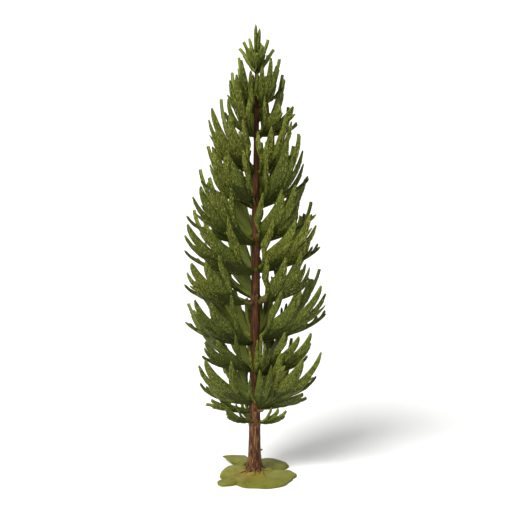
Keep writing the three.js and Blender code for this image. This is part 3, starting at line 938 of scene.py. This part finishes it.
def leaf_points(surface, share, x, corners, size, slant):
    """Scale leaves on the outer faces of flames, each upright in the surface apart from its slant.

    The normal is the cross product of small steps across and along the flame, and the way up is the
    vertical laid into the surface, mixed with the way along the flame.
    """
    place = surface(share, x, outer_height(x))
    ahead = surface(share + LEAF_STEP, x, outer_height(x)) - place
    beside = surface(share, x + LEAF_STEP, outer_height(x + LEAF_STEP)) - place
    normal = unit(np.cross(beside, ahead))
    upright = UPWARD - normal * normal[..., 2:]
    upright = LEAF_UPRIGHT * upright + (1 - LEAF_UPRIGHT) * unit(ahead)
    upright = unit(upright + slant[..., None, None] * np.cross(upright, normal))
    axes = np.concatenate((upright, np.cross(upright, normal), normal), axis=-2)
    return place + size[..., None, None] * (corners @ axes)


def leaves_of(foliage, rng, crowd, first, reach, half_at, surface):
    """Scale leaves in staggered rows over the outer faces of like flames, and a lot drawn for each.

    A leaf is kept by chance: its share of the widest half width, and then the crowd times the cover,
    which grows evenly up the flame.
    """
    widest = half_at(np.linspace(0, 1, WIDTH_STEPS)[None, :, None], 1).max()
    rows = int(reach.max() * (1 - first) / (LEAF_ROW_PITCH * foliage.scale_length))
    rows = max(LEAF_ROWS_LEAST, rows)
    columns = int(round(2 * widest / (LEAF_COLUMN_PITCH * foliage.scale_width)))
    columns = max(LEAF_COLUMNS_LEAST, columns)
    row, place = np.divmod(np.arange(rows * columns)[None], columns)
    shape = (len(reach), rows * columns)
    share = first + (LEAF_LAST - first) * (row + LEAF_ROW_SCATTER * rng.random(shape)) / rows
    across = (place + 0.5 + LEAF_STAGGER * (-1) ** row) / columns
    across = LEAF_EDGE * (2 * across - 1) + LEAF_COLUMN_SCATTER * (rng.random(shape) - 0.5) / columns
    half = half_at(share[..., None], across[..., None])[..., 0]
    keep = rng.random(shape) < np.clip(half / widest, 0, 1)
    cover = np.clip((share - first) / (LEAF_COVER_FULL - first), LEAF_COVER_LEAST, 1)
    keep &= rng.random(shape) < crowd * cover
    keep &= half > LEAF_HALF_LEAST
    keep &= share > first + LEAF_FIRST_SCATTER * rng.random(shape)
    size = ramp(LEAF_SIZE, rng.random(shape))
    slant = LEAF_SLANT * (2 * rng.random(shape) - 1)
    corners = LEAF_SHAPE * (foliage.scale_length, foliage.scale_width, foliage.scale_lift)
    points = leaf_points(surface, share[..., None], across[..., None], corners, size, slant)
    return points[keep], rng.random(shape)[keep]


def add_object(name, data):
    """A new object of the scene that carries the given data."""
    made = bpy.data.objects.new(name, data)
    bpy.context.scene.collection.objects.link(made)
    return made


class Gathering:
    """Points and faces of like shapes, gathered for one mesh."""

    def __init__(self):
        self.points = []
        self.corners = []
        self.totals = []
        self.paints = []
        self.size = 0

    def add(self, points, faces, paints):
        """Adds points with groups of faces, each with the number of its paint or one for each face."""
        for group, paint in zip(faces, paints):
            self.paints.append(np.broadcast_to(paint, len(group)))
            self.corners.append((group + self.size).ravel())
            self.totals.append(np.full(len(group), group.shape[1]))
        self.points.append(points.reshape(-1, 3))
        self.size += len(self.points[-1])

    def add_tubes(self, grids, paints=(0, 0, 0)):
        """Adds closed tubes, one for each grid of rows by ring points, with paints for sides and caps."""
        grids = grids.reshape(-1, *grids.shape[-3:])
        self.add(grids, tube_faces(*grids.shape[:3]), paints)

    def add_leaves(self, leaves):
        """Adds scale leaves: four raised faces round each crest and two below."""
        start = np.arange(len(leaves))[:, None, None] * len(LEAF_SHAPE)
        self.add(leaves, [(start + LEAF_FACES).reshape(-1, 3)], (0,))

    def piece(self, name, materials, slot, nodes=(), smooth=True):
        """Puts the gathered shapes into one mesh that rides on the tree and stands for the named nodes."""
        mesh = bpy.data.meshes.new(name)
        corners = np.concatenate(self.corners).astype(np.int32)
        totals = np.concatenate(self.totals).astype(np.int32)
        points = np.concatenate(self.points).astype(np.float32)
        mesh.vertices.add(len(points))
        mesh.vertices.foreach_set("co", points.ravel())
        mesh.loops.add(len(corners))
        mesh.loops.foreach_set("vertex_index", corners)
        mesh.polygons.add(len(totals))
        mesh.polygons.foreach_set("loop_start", (np.cumsum(totals) - totals).astype(np.int32))
        mesh.polygons.foreach_set("use_smooth", np.full(len(totals), smooth))
        for material in materials:
            mesh.materials.append(material)
        mesh.polygons.foreach_set("material_index", np.concatenate(self.paints).astype(np.int32))
        mesh.update(calc_edges=True)
        if mesh.validate():
            raise RuntimeError(f"{name} has faces that Blender had to mend")
        made = add_object(name, mesh)
        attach(made, "root")
        if nodes:
            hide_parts(*nodes)


def add_node(tree, kind, inputs=(), **options):
    """A new node of a shader tree: first its options are set, then its inputs as (socket, value) pairs."""
    node = tree.nodes.new(kind)
    for name, value in options.items():
        setattr(node, name, value)
    for socket, value in inputs:
        node.inputs[socket].default_value = value
    return node


def wire(tree, *links):
    """Links of a shader tree, each (node, its output, next node, its input)."""
    for source, output, target, entry in links:
        tree.links.new(source.outputs[output], target.inputs[entry])


def mottle_group():
    """Two colours mixed by stretched noise: the noise is cut between a low and a high level for the mask."""
    found = bpy.data.node_groups.get(MOTTLE_GROUP)
    if found:
        return found
    group = bpy.data.node_groups.new(MOTTLE_GROUP, "ShaderNodeTree")
    for way, sockets in (("INPUT", MOTTLE_INPUTS), ("OUTPUT", MOTTLE_OUTPUTS)):
        for label, kind in sockets.items():
            group.interface.new_socket(name=label, in_out=way, socket_type=kind)
    source = add_node(group, "NodeGroupInput")
    result = add_node(group, "NodeGroupOutput")
    place = add_node(group, "ShaderNodeTexCoord")
    stretch = add_node(group, "ShaderNodeVectorMath", operation="MULTIPLY")
    noise = add_node(group, "ShaderNodeTexNoise", MOTTLE_NOISE.items())
    cut = add_node(group, "ShaderNodeMapRange")
    mix = add_node(group, "ShaderNodeMix", data_type="RGBA")
    wire(
        group,
        (place, "Object", stretch, 0),
        (source, "Grain", stretch, 1),
        (stretch, "Vector", noise, "Vector"),
        (noise, "Fac", cut, "Value"),
        (source, "Low", cut, "From Min"),
        (source, "High", cut, "From Max"),
        (cut, "Result", mix, "Factor"),
        (source, "Ground", mix, "A"),
        (source, "Brushed", mix, "B"),
        (mix, "Result", result, "Colour"),
        (cut, "Result", result, "Mask"),
        (noise, "Fac", result, "Height"),
    )
    return group


def mottle(tree, kind, ground, brushed):
    """One placing of the mottle group, with two colours and its kind's grain and levels.

    A kind with a relief also bumps the shader by the height of its noise.
    """
    grain, low, high, relief, depth = MOTTLES[kind]
    values = zip(MOTTLE_INPUTS, (ground, brushed, grain, low, high))
    node = add_node(tree, "ShaderNodeGroup", values, node_tree=mottle_group())
    if relief:
        bump = add_node(tree, "ShaderNodeBump", (("Strength", relief), ("Distance", depth * MM)))
        wire(tree, (node, "Height", bump, "Height"), (bump, "Normal", tree.nodes[SHADER], "Normal"))
    return node


def new_paint(name, roughness):
    """A matt paint, ready for a colour."""
    material = bpy.data.materials.new(name)
    material.use_nodes = True
    shader = material.node_tree.nodes[SHADER]
    shader.inputs["Roughness"].default_value = roughness
    shader.inputs["Specular IOR Level"].default_value = PAINT_GLOSS
    return material


def mottled_paint(name, kind, ground, brushed):
    """Paint with flecks of a second colour and a faint relief."""
    material = new_paint(name, LEAF_ROUGHNESS)
    tree = material.node_tree
    flecks = mottle(tree, kind, ground, brushed)
    wire(tree, (flecks, "Colour", tree.nodes[SHADER], "Base Color"))
    return material


def brush_over(tree, ground, mask, away, output, fade, colour):
    """Brushes a colour over a ground: its cover is a mask times an even fade with a distance."""
    cover = add_node(tree, "ShaderNodeMapRange", zip(FADE_INPUTS, fade))
    ragged = add_node(tree, "ShaderNodeMath", operation="MULTIPLY", use_clamp=True)
    mix = add_node(tree, "ShaderNodeMix", (("B", colour),), data_type="RGBA")
    wire(
        tree,
        (away, output, cover, "Value"),
        (cover, "Result", ragged, 0),
        (mask, "Mask", ragged, 1),
        (ragged, "Value", mix, "Factor"),
        (ground, "Colour", mix, "A"),
        (mix, "Result", tree.nodes[SHADER], "Base Color"),
    )


def bark_paint(paint):
    """Reddish brown paint with dark cracks and tan dry-brushed streaks that thin out up the trunk."""
    material = new_paint("bark_paint", BARK_ROUGHNESS)
    tree = material.node_tree
    cracks = mottle(tree, "cracks", paint.bark_dark, paint.bark)
    streaks = mottle(tree, "streaks", BLACK, WHITE)
    place = add_node(tree, "ShaderNodeTexCoord")
    split = add_node(tree, "ShaderNodeSeparateXYZ")
    wire(tree, (place, "Object", split, "Vector"))
    brush_over(tree, cracks, streaks, split, "Z", BARK_FADE, paint.bark_brushed)
    return material


def turf_paint(paint):
    """Yellow-green paint with soft patches, fine specks and brown soil that fades out from the trunk."""
    material = new_paint("turf_paint", TURF_ROUGHNESS)
    tree = material.node_tree
    patches = mottle(tree, "patches", paint.turf_dark, paint.turf)
    specks = mottle(tree, "specks", BLACK, WHITE)
    place = add_node(tree, "ShaderNodeTexCoord")
    level = add_node(tree, "ShaderNodeVectorMath", operation="MULTIPLY_ADD")
    level.inputs[1].default_value = LEVEL
    level.inputs[2].default_value = SOIL_SHIFT
    away = add_node(tree, "ShaderNodeVectorMath", operation="LENGTH")
    wire(tree, (place, "Object", level, 0), (level, "Vector", away, 0))
    brush_over(tree, patches, specks, away, "Value", SOIL_FADE, paint.soil)
    return material


def make_trunk(settings):
    """The trunk: its radius times a cosine for the root flutes, plus bark ridges on wandering sine waves."""
    height = np.linspace(TRUNK_FOOT - TRUNK_SUNK, TRUNK_TIP + CLEAR_GAP, TRUNK_ROWS)[:, None]
    turn = turns(TRUNK_RING)[None]
    plain = trunk_radius(height, settings.trunk.breast_radius)
    around = plain * (1 + FLUTE_DEPTH * np.cos(FLUTES * turn) * flare(height))
    depth = settings.trunk.bark_depth * np.clip(plain / BARK_FULL_RADIUS, BARK_THINNEST, 1)
    for number, (count, wander, pitch, share) in enumerate(BARK_RIDGES):
        wave = 2 * np.pi * height / (pitch * MM)
        swing = np.sin(wave + number) + RIPPLE_SHARE * np.sin(wave / RIPPLE_PITCH + 2 * number)
        ridge = np.abs(np.sin((count * turn + wander * swing) / 2))
        around = around + depth * share * (ridge - RIDGE_LEVEL)
    bark = Gathering()
    bark.add_tubes(round_trunk(height, around, turn, height))
    bark.piece("bark", (bark_paint(settings.paint),), "bark", ["trunk"])


def make_boughs(settings):
    """Bare boughs: straight tapering tubes out along a frond's slope, with twisted sine ridges."""
    share = np.linspace(0, 1, BOUGH_ROWS)
    rough = 1 + BOUGH_ROUGH * np.sin(BOUGH_RIDGES * turns(BOUGH_RING)[None] + BOUGH_TWIST * share[:, None])
    boughs = Gathering()
    nodes = []
    for frond in frond_plans(settings):
        if frond.bough:
            out = frond.bark - CLEAR_GAP + share * (frond.bough + BOUGH_OVERRUN)
            end = frond.bark + CLEAR_GAP + frond.bough
            height = frond.joint + math.tan(frond.slope) * (out - end)
            path = round_trunk(frond.joint, out, frond.turn, height)
            boughs.add_tubes(tube(path, frond.stem * ramp(BOUGH_TAPER, share), BOUGH_RING, rough))
            nodes.append(frond.node.replace("frond", "bough"))
    olive = mottled_paint("bough_paint", "bough", settings.paint.twig, settings.paint.bough)
    boughs.piece("boughs", (olive,), "bark", nodes)


def make_roots(settings):
    """Fine roots over the turf and nubs on the trunk, as tapering tubes.

    A root's bearing wanders by a sine, and it climbs the trunk's foot by a power of the way left.
    A nub rises by a power of the way along it.
    """
    pieces = {"bark": Gathering(), "green": Gathering()}
    share = np.linspace(0, 1, ROOT_ROWS)
    start = ROOT_START * trunk_radius(TRUNK_FOOT, settings.trunk.breast_radius)
    radius = ROOT_RADIUS * ramp(ROOT_TAPER, share)
    for number, (bearing, length) in enumerate(ROOTS):
        turn = math.radians(bearing) + ROOT_WANDER * np.sin(ROOT_BENDS * share + number)
        path = round_trunk(0.0, start + share * length * MM, turn, ROOT_SEAT * radius)
        path[:, 2] += base_height(path[:, 0], path[:, 1]) + ROOT_CLIMB * (1 - share) ** ROOT_CLIMB_POWER
        pieces["bark"].add_tubes(tube(path, radius, ROOT_RING))
    share = np.linspace(0, 1, NUB_ROWS)
    taper = ramp(NUB_TAPER, share) * round_tip(share, NUB_ROUND, STUB_CLOSE)
    for bearing, height, length, thick, rise, skin in NUBS:
        climb = (height + rise * share**NUB_BEND) * MM
        path = round_trunk(height * MM, share * length * MM, math.radians(bearing), climb)
        pieces[skin].add_tubes(tube(path, thick * MM * taper, NUB_RING))
    paint = settings.paint
    tan = mottled_paint("root_paint", "root", paint.bark, paint.bough)
    pieces["bark"].piece("roots_and_nubs", (tan,), "bark")
    stub = mottled_paint("nub_paint", "nub", paint.twig, paint.leaf_dark)
    pieces["green"].piece("green_nubs", (stub,), "foliage")


def make_base(settings):
    """The turf base: its overlapping lobes and its flap."""
    turf = Gathering()
    for number in range(len(BASE_LOBES)):
        turf.add_tubes(lobe_points(number, settings.base))
    turf.add_tubes(flap_points())
    turf.piece("turf", (turf_paint(settings.paint),), "turf", ["base"])


def leaf_colours(paint):
    """The greens of the fronds, one for each tone."""
    return paint.leaf_light, paint.leaf_middle, paint.leaf_dark


def spire_points(aside, top):
    """A spire of the leader: an upright tapering tube that leans evenly, with twisted sine ridges."""
    share = np.linspace(0, 1, SPIRE_ROWS)[:, None]
    turn = turns(SPIRE_RING)[None]
    thick = ramp(LEADER_RADIUS, share) * round_tip(share, SPIRE_ROUND, STUB_CLOSE)
    reach = thick * (1 + SPIRE_ROUGH * np.sin(SPIRE_RIDGES * turn + SPIRE_TWIST * share))
    foot = TRUNK_TIP - CLEAR_GAP
    points = round_trunk(TRUNK_TIP, reach, turn, foot + (top * MM - foot) * share)
    points[..., 0] += aside * MM * ramp(SPIRE_LEAN, share)
    return points


def make_fronds(settings):
    """Blades of the fronds and of the leader: their flames, teeth and spires, one piece for each tone."""
    blades = [Gathering() for _ in range(TONES)]
    nodes = [[] for _ in range(TONES)]
    finger_share = np.linspace(0, 1, FINGER_ROWS)[None, :, None]
    tooth_share = np.linspace(0, 1, TOOTH_ROWS)[None, :, None]
    plans = frond_plans(settings)
    for frond in plans + leader_plans():
        fingers = finger_points(frond, fingers_of(frond), finger_share, FLAME_X, FLAME_Z)
        # The lowest rows of each finger's outer faces take painted shade
        blades[frond.tone].add_tubes(fingers, outer_paints(*fingers.shape[:3], PAINTED_SHADE_ROWS))
        teeth = tooth_points(frond, teeth_of(frond, settings.foliage.teeth), tooth_share, FLAME_X, FLAME_Z)
        blades[frond.tone].add_tubes(teeth, outer_paints(*teeth.shape[:3], 0))
    for aside, top in SPIRES:
        blades[0].add_tubes(spire_points(aside, top), (OUTER, OUTER, OUTER))
    for frond in plans:
        nodes[frond.tone].append(frond.node)
    nodes[0].append("leader")
    paint = settings.paint
    # Inner faces take a lighter green that is partly painted light; the deep green of outer faces and palms
    # is painted shade
    kinds = (("blade", paint.leaf_inner_and_painted_light), ("face", paint.leaf_shadow), ("palm", paint.leaf_shadow))
    for tone, colour in enumerate(leaf_colours(paint)):
        greens = [mottled_paint(f"{kind}_{tone}", kind, ground, colour) for kind, ground in kinds]
        blades[tone].piece(f"blades_{tone}", greens, "foliage", nodes[tone])


def make_twigs(settings):
    """Keels and prongs as thin tapering tubes."""
    twigs = Gathering()
    keel_taper = twig_taper(KEEL_ROWS, KEEL_TIP_SHARE)
    prong_radius = PRONG_RADIUS * twig_taper(PRONG_ROWS, PRONG_TIP_SHARE)
    for frond in frond_plans(settings):
        rng = np.random.default_rng(frond.seed + TWIG_SEED_STEP)
        keel = keel_path(frond, rng)
        twigs.add_tubes(tube(keel, min(KEEL_RADIUS, KEEL_SHARE * frond.width) * keel_taper, TWIG_RING))
        many = settings.foliage.prongs + (SMALL_FROND_PRONGS if frond.width < SMALL_FROND else 0)
        for path in prongs_of(frond, keel, many, rng):
            twigs.add_tubes(tube(path, prong_radius, TWIG_RING))
    # The dark keel paint is partly painted shade along each frond's lower edge
    green = mottled_paint("twig_paint", "twig", settings.paint.twig, settings.paint.leaf_dark)
    twigs.piece("keels_and_prongs", (green,), "foliage")


def frond_leaves(frond, foliage):
    """Scale leaves of one frond with their lots: a list of those on its fingers and those on its teeth.

    The crowd is drawn by chance for the frond and thinned evenly towards the low ones.
    """
    rng = np.random.default_rng(frond.seed + LEAF_SEED_STEP)
    crowd = ramp(LEAF_CROWD, rng.random())
    crowd *= np.interp(frond.joint, LEAF_CROWD_HEIGHTS, LEAF_CROWD_SHARES)
    keel = KEEL_BULGE * math.hypot(frond.reach - frond.start, frond.rise)
    fingers = fingers_of(frond)
    teeth = teeth_of(frond, foliage.teeth)
    flames = (
        (
            LEAF_FIRST_FINGER,
            keel * fingers.tip,
            lambda share, x: finger_half(frond, fingers, share, x),
            lambda share, x, z: finger_points(frond, fingers, share, x, z),
        ),
        (
            LEAF_FIRST_TOOTH,
            keel * (teeth.end - teeth.begin),
            lambda share, x: tooth_half(teeth, share),
            lambda share, x, z: tooth_points(frond, teeth, share, x, z),
        ),
    )
    return [leaves_of(foliage, rng, crowd, *flame) for flame in flames]


def make_scales(settings):
    """Scale leaves of all fronds, dealt out by their lots: brushed, deep, or the tone of their frond."""
    foliage = settings.foliage
    paint = settings.paint
    scales = {name: Gathering() for name in SCALE_NAMES}
    for frond in frond_plans(settings):
        for leaves, lot in frond_leaves(frond, foliage):
            brushed = lot < foliage.bright_share
            deep = lot > 1 - foliage.dark_share
            scales[SCALE_NAMES[frond.tone]].add_leaves(leaves[~brushed & ~deep])
            scales["scales_brushed"].add_leaves(leaves[brushed])
            scales["scales_deep"].add_leaves(leaves[deep])
    colours = (*leaf_colours(paint), paint.leaf_brushed, paint.leaf_shadow)
    for (name, leaves), colour in zip(scales.items(), colours):
        green = mottled_paint(name, "scale", paint.leaf_shadow, colour)
        leaves.piece(name, (green,), "foliage", smooth=False)


def make_floor():
    """A pale floor that sweeps up into a backdrop through a quarter circle."""
    turn = np.linspace(0, np.pi / 2, SWEEP_ROWS)
    sweep = SWEEP_START + SWEEP_RADIUS * np.sin(turn)
    depth = np.concatenate(((-FLOOR_REACH,), sweep, sweep[-1:]))[:, None]
    height = np.concatenate(((0,), SWEEP_RADIUS * (1 - np.cos(turn)), (BACKDROP_HEIGHT,)))[:, None]
    across = np.array((-FLOOR_REACH, FLOOR_REACH))[None]
    points = np.stack(np.broadcast_arrays(across, depth, height), axis=-1).reshape(-1, 3)
    row = 2 * np.arange(len(depth) - 1)
    faces = np.stack((row, row + 1, row + 3, row + 2), axis=-1)
    mesh = bpy.data.meshes.new("floor")
    mesh.from_pydata(points.tolist(), [], faces.tolist())
    mesh.polygons.foreach_set("use_smooth", np.full(len(faces), True))
    paint = new_paint("floor_paint", FLOOR_ROUGHNESS)
    paint.node_tree.nodes[SHADER].inputs["Base Color"].default_value = FLOOR_COLOUR
    mesh.materials.append(paint)
    floor = add_object("floor", mesh)


def make_light(name, place, power):
    """A soft square light that faces the tree: its tilt from straight down, and then its bearing."""
    light = bpy.data.lights.new(name, "AREA")
    light.size = LIGHT_SIZE
    light.energy = power
    lamp = add_object(name, light)
    lamp.location = place
    aim = unit(np.subtract(LIGHT_AIM, place))
    lamp.rotation_euler = (math.acos(-aim[2]), 0, math.atan2(aim[1], aim[0]) - math.pi / 2)


def make_room(scene, strength):
    """A surround that is white where the camera sees it and lights the tree with its own strength."""
    world = bpy.data.worlds.new("room")
    world.use_nodes = True
    tree = world.node_tree
    dim = tree.nodes["Background"]
    dim.inputs["Color"].default_value = WHITE
    dim.inputs["Strength"].default_value = strength
    seen = add_node(tree, "ShaderNodeBackground", (("Color", WHITE),))
    ray = add_node(tree, "ShaderNodeLightPath")
    either = add_node(tree, "ShaderNodeMixShader")
    wire(
        tree,
        (ray, "Is Camera Ray", either, "Fac"),
        (dim, "Background", either, 1),
        (seen, "Background", either, 2),
        (either, "Shader", tree.nodes["World Output"], "Surface"),
    )
    scene.world = world
    scene.view_settings.view_transform = "Standard"


def make_camera(scene, stage):
    """The camera in front of the trunk, tilted down."""
    lens = bpy.data.cameras.new("camera")
    lens.lens = stage.lens
    lens.shift_x = stage.shift_x
    lens.shift_y = stage.shift_y
    camera = add_object("camera", lens)
    camera.location = (0, -stage.camera_distance, stage.camera_height)
    camera.rotation_euler = (math.pi / 2 - stage.camera_pitch, 0, 0)
    scene.camera = camera


def length_setting(name, description, millimetres):
    """A setting for a length, given in millimetres."""
    return FloatProperty(name=name, description=description, default=millimetres * MM, unit="LENGTH")


def share_setting(name, description, default):
    """A setting for a share from 0 to 1."""
    return FloatProperty(name=name, description=description, default=default, subtype="FACTOR", min=0, max=1)


def colour_setting(name, description, *screen):
    """A setting for a paint, given by its screen values."""
    return FloatVectorProperty(
        name=name, description=description, default=painted(*screen), size=4, subtype="COLOR"
    )


def power_setting(name, description, watts):
    """A setting for a light's power, given in watts."""
    return FloatProperty(name=name, description=description, default=watts, unit="POWER")


class TrunkSettings(PropertyGroup):
    breast_radius: length_setting("Trunk radius", "Radius of the trunk above its root flare", 3.1)
    bark_depth: length_setting("Bark depth", "Height of the bark ridges on the thick part of the trunk", 0.16)


class FoliageSettings(PropertyGroup):
    teeth: IntProperty(
        name="Teeth", description="Teeth that leave each finger of a frond", default=1, min=1, max=6
    )
    prongs: IntProperty(
        name="Prongs", description="Forked prongs on the lower edge of a frond", default=4, min=1, max=6
    )
    scale_length: length_setting("Scale length", "Length of one scale leaf", 1.25)
    scale_width: length_setting("Scale width", "Width of one scale leaf", 0.4)
    scale_lift: length_setting("Scale height", "Height of a scale leaf's crest", 0.17)
    bright_share: share_setting("Brushed share", "Share of the scale leaves with the lightest paint", 0.3)
    dark_share: share_setting("Deep share", "Share of the scale leaves with the darkest paint", 0.24)


class BaseSettings(PropertyGroup):
    wave: share_setting("Edge wave", "Wave of a lobe's edge, as a share of its radius", 0.028)
    relief: length_setting("Turf relief", "Height of the soft bumps on the turf", 0.16)


class PaintSettings(PropertyGroup):
    bark: colour_setting("Bark", "Trunk paint", 76, 42, 19)
    bark_dark: colour_setting("Bark cracks", "Paint in the cracks", 40, 18, 7)
    bark_brushed: colour_setting("Bark streaks", "Dry-brushed paint", 168, 125, 78)
    # Dark green of keels and prongs, partly painted shade along each frond's lower edge; also the darker
    # ground of boughs and green nubs
    twig: colour_setting("Twigs", "Keels and prongs", 46, 51, 7)
    bough: colour_setting("Boughs", "Boughs and roots", 104, 90, 46)
    leaf_light: colour_setting("Light green", "Lightest fronds", 110, 117, 36)
    leaf_middle: colour_setting("Middle green", "Middle fronds", 99, 107, 31)
    leaf_dark: colour_setting("Dark green", "Darkest fronds", 88, 97, 26)
    leaf_brushed: colour_setting("Brushed green", "Dry-brushed scale leaves", 156, 153, 72)
    # Deep green: painted shade between the scale leaves and low on the palms, and also the random darkest
    # tone of some scale leaves
    leaf_shadow: colour_setting("Deep green", "Between the scale leaves", 46, 54, 4)
    # Partly the smooth inner green of the moulding, partly painted light on inner faces that lie in the shade
    # of other fronds
    leaf_inner_and_painted_light: colour_setting("Inner green", "Smooth inner faces", 112, 122, 48)
    turf: colour_setting("Turf", "Turf paint", 113, 113, 35)
    turf_dark: colour_setting("Turf patches", "Darker turf", 92, 92, 21)
    soil: colour_setting("Soil", "Soil by the trunk", 150, 118, 52)


class StageSettings(PropertyGroup):
    camera_distance: length_setting("Camera distance", "In front of the trunk", 600)
    camera_height: length_setting("Camera height", "Above the floor", 218)
    camera_pitch: FloatProperty(
        name="Camera pitch",
        description="Downward tilt of the camera",
        default=math.atan(CAMERA_SLOPE),
        subtype="ANGLE",
    )
    lens: FloatProperty(name="Lens", description="Focal length", default=81.26, unit="CAMERA")
    shift_x: share_setting("Shift across", "Camera shift across, as a share of the picture", 0.5 / PICTURE)
    shift_y: share_setting("Shift up", "Camera shift up, as a share of the picture", 4.5 / PICTURE)
    key_power: power_setting("Key light", "Power of the key light", 55)
    fill_power: power_setting("Fill light", "Power of the fill light", 3)
    sky: share_setting("Room light", "Strength of the light all round", 0.04)


class CypressSettings(PropertyGroup):
    trunk: PointerProperty(type=TrunkSettings)
    foliage: PointerProperty(type=FoliageSettings)
    base: PointerProperty(type=BaseSettings)
    paint: PointerProperty(type=PaintSettings)
    stage: PointerProperty(type=StageSettings)


class CYPRESS_OT_trunk(Operator):
    """Trunk with bark ridges, root flutes and collars, and the two bare boughs."""

    bl_idname = "cypress.trunk"
    bl_label = "Trunk and boughs"

    def execute(self, context):
        make_trunk(context.scene.cypress)
        make_boughs(context.scene.cypress)
        return {"FINISHED"}


class CYPRESS_OT_roots(Operator):
    """Fine roots that run out over the turf, and the nubs on the trunk."""

    bl_idname = "cypress.roots"
    bl_label = "Roots and nubs"

    def execute(self, context):
        make_roots(context.scene.cypress)
        return {"FINISHED"}


class CYPRESS_OT_base(Operator):
    """Turf base: overlapping lobes, each a rim under a low crown, and the pointed flap."""

    bl_idname = "cypress.base"
    bl_label = "Turf base"

    def execute(self, context):
        make_base(context.scene.cypress)
        return {"FINISHED"}


class CYPRESS_OT_fronds(Operator):
    """Blades of the fronds and the leader: flames from the stem to each finger's tip, and their teeth."""

    bl_idname = "cypress.fronds"
    bl_label = "Frond blades"

    def execute(self, context):
        make_fronds(context.scene.cypress)
        return {"FINISHED"}


class CYPRESS_OT_twigs(Operator):
    """Keels along the lower edge of each frond, and thin forked prongs that leave it."""

    bl_idname = "cypress.twigs"
    bl_label = "Keels and prongs"

    def execute(self, context):
        make_twigs(context.scene.cypress)
        return {"FINISHED"}


class CYPRESS_OT_scales(Operator):
    """Scale leaves in staggered rows over the outer faces of the flames, dealt out by frond and by chance."""

    bl_idname = "cypress.scales"
    bl_label = "Scale leaves"

    def execute(self, context):
        make_scales(context.scene.cypress)
        return {"FINISHED"}


class CYPRESS_OT_stage(Operator):
    """Pale floor that sweeps up into a backdrop, soft lights, the room and the camera."""

    bl_idname = "cypress.stage"
    bl_label = "Stage"

    def execute(self, context):
        stage = context.scene.cypress.stage
        make_floor()
        make_light("key", KEY_PLACE, stage.key_power)
        make_light("fill", FILL_PLACE, stage.fill_power)
        make_room(context.scene, stage.sky)
        make_camera(context.scene, stage)
        return {"FINISHED"}


OPERATORS = (
    CYPRESS_OT_trunk,
    CYPRESS_OT_roots,
    CYPRESS_OT_base,
    CYPRESS_OT_fronds,
    CYPRESS_OT_twigs,
    CYPRESS_OT_scales,
    CYPRESS_OT_stage,
)


class CYPRESS_PT_panel(Panel):
    """The tree's pieces in the order they are built."""

    bl_label = "Model cypress tree"
    bl_idname = "CYPRESS_PT_panel"
    bl_space_type = "VIEW_3D"
    bl_region_type = "UI"
    bl_category = "Cypress"

    def draw(self, context):
        for operator in OPERATORS:
            self.layout.operator(operator.bl_idname)


CLASSES = (
    TrunkSettings,
    FoliageSettings,
    BaseSettings,
    PaintSettings,
    StageSettings,
    CypressSettings,
    *OPERATORS,
    CYPRESS_PT_panel,
)


def register():
    """Registers the settings, operators and panel."""
    for cls in CLASSES:
        bpy.utils.register_class(cls)
    bpy.types.Scene.cypress = PointerProperty(type=CypressSettings)


def unregister():
    """Takes the settings, operators and panel away again."""
    del bpy.types.Scene.cypress
    for cls in reversed(CLASSES):
        bpy.utils.unregister_class(cls)


def main():
    """Builds every piece in order."""
    register()
    bpy.ops.cypress.trunk()
    bpy.ops.cypress.roots()
    bpy.ops.cypress.base()
    bpy.ops.cypress.fronds()
    bpy.ops.cypress.twigs()
    bpy.ops.cypress.scales()
    bpy.ops.cypress.stage()
    bpy.context.view_layer.update()


if __name__ == "__main__":
    main()
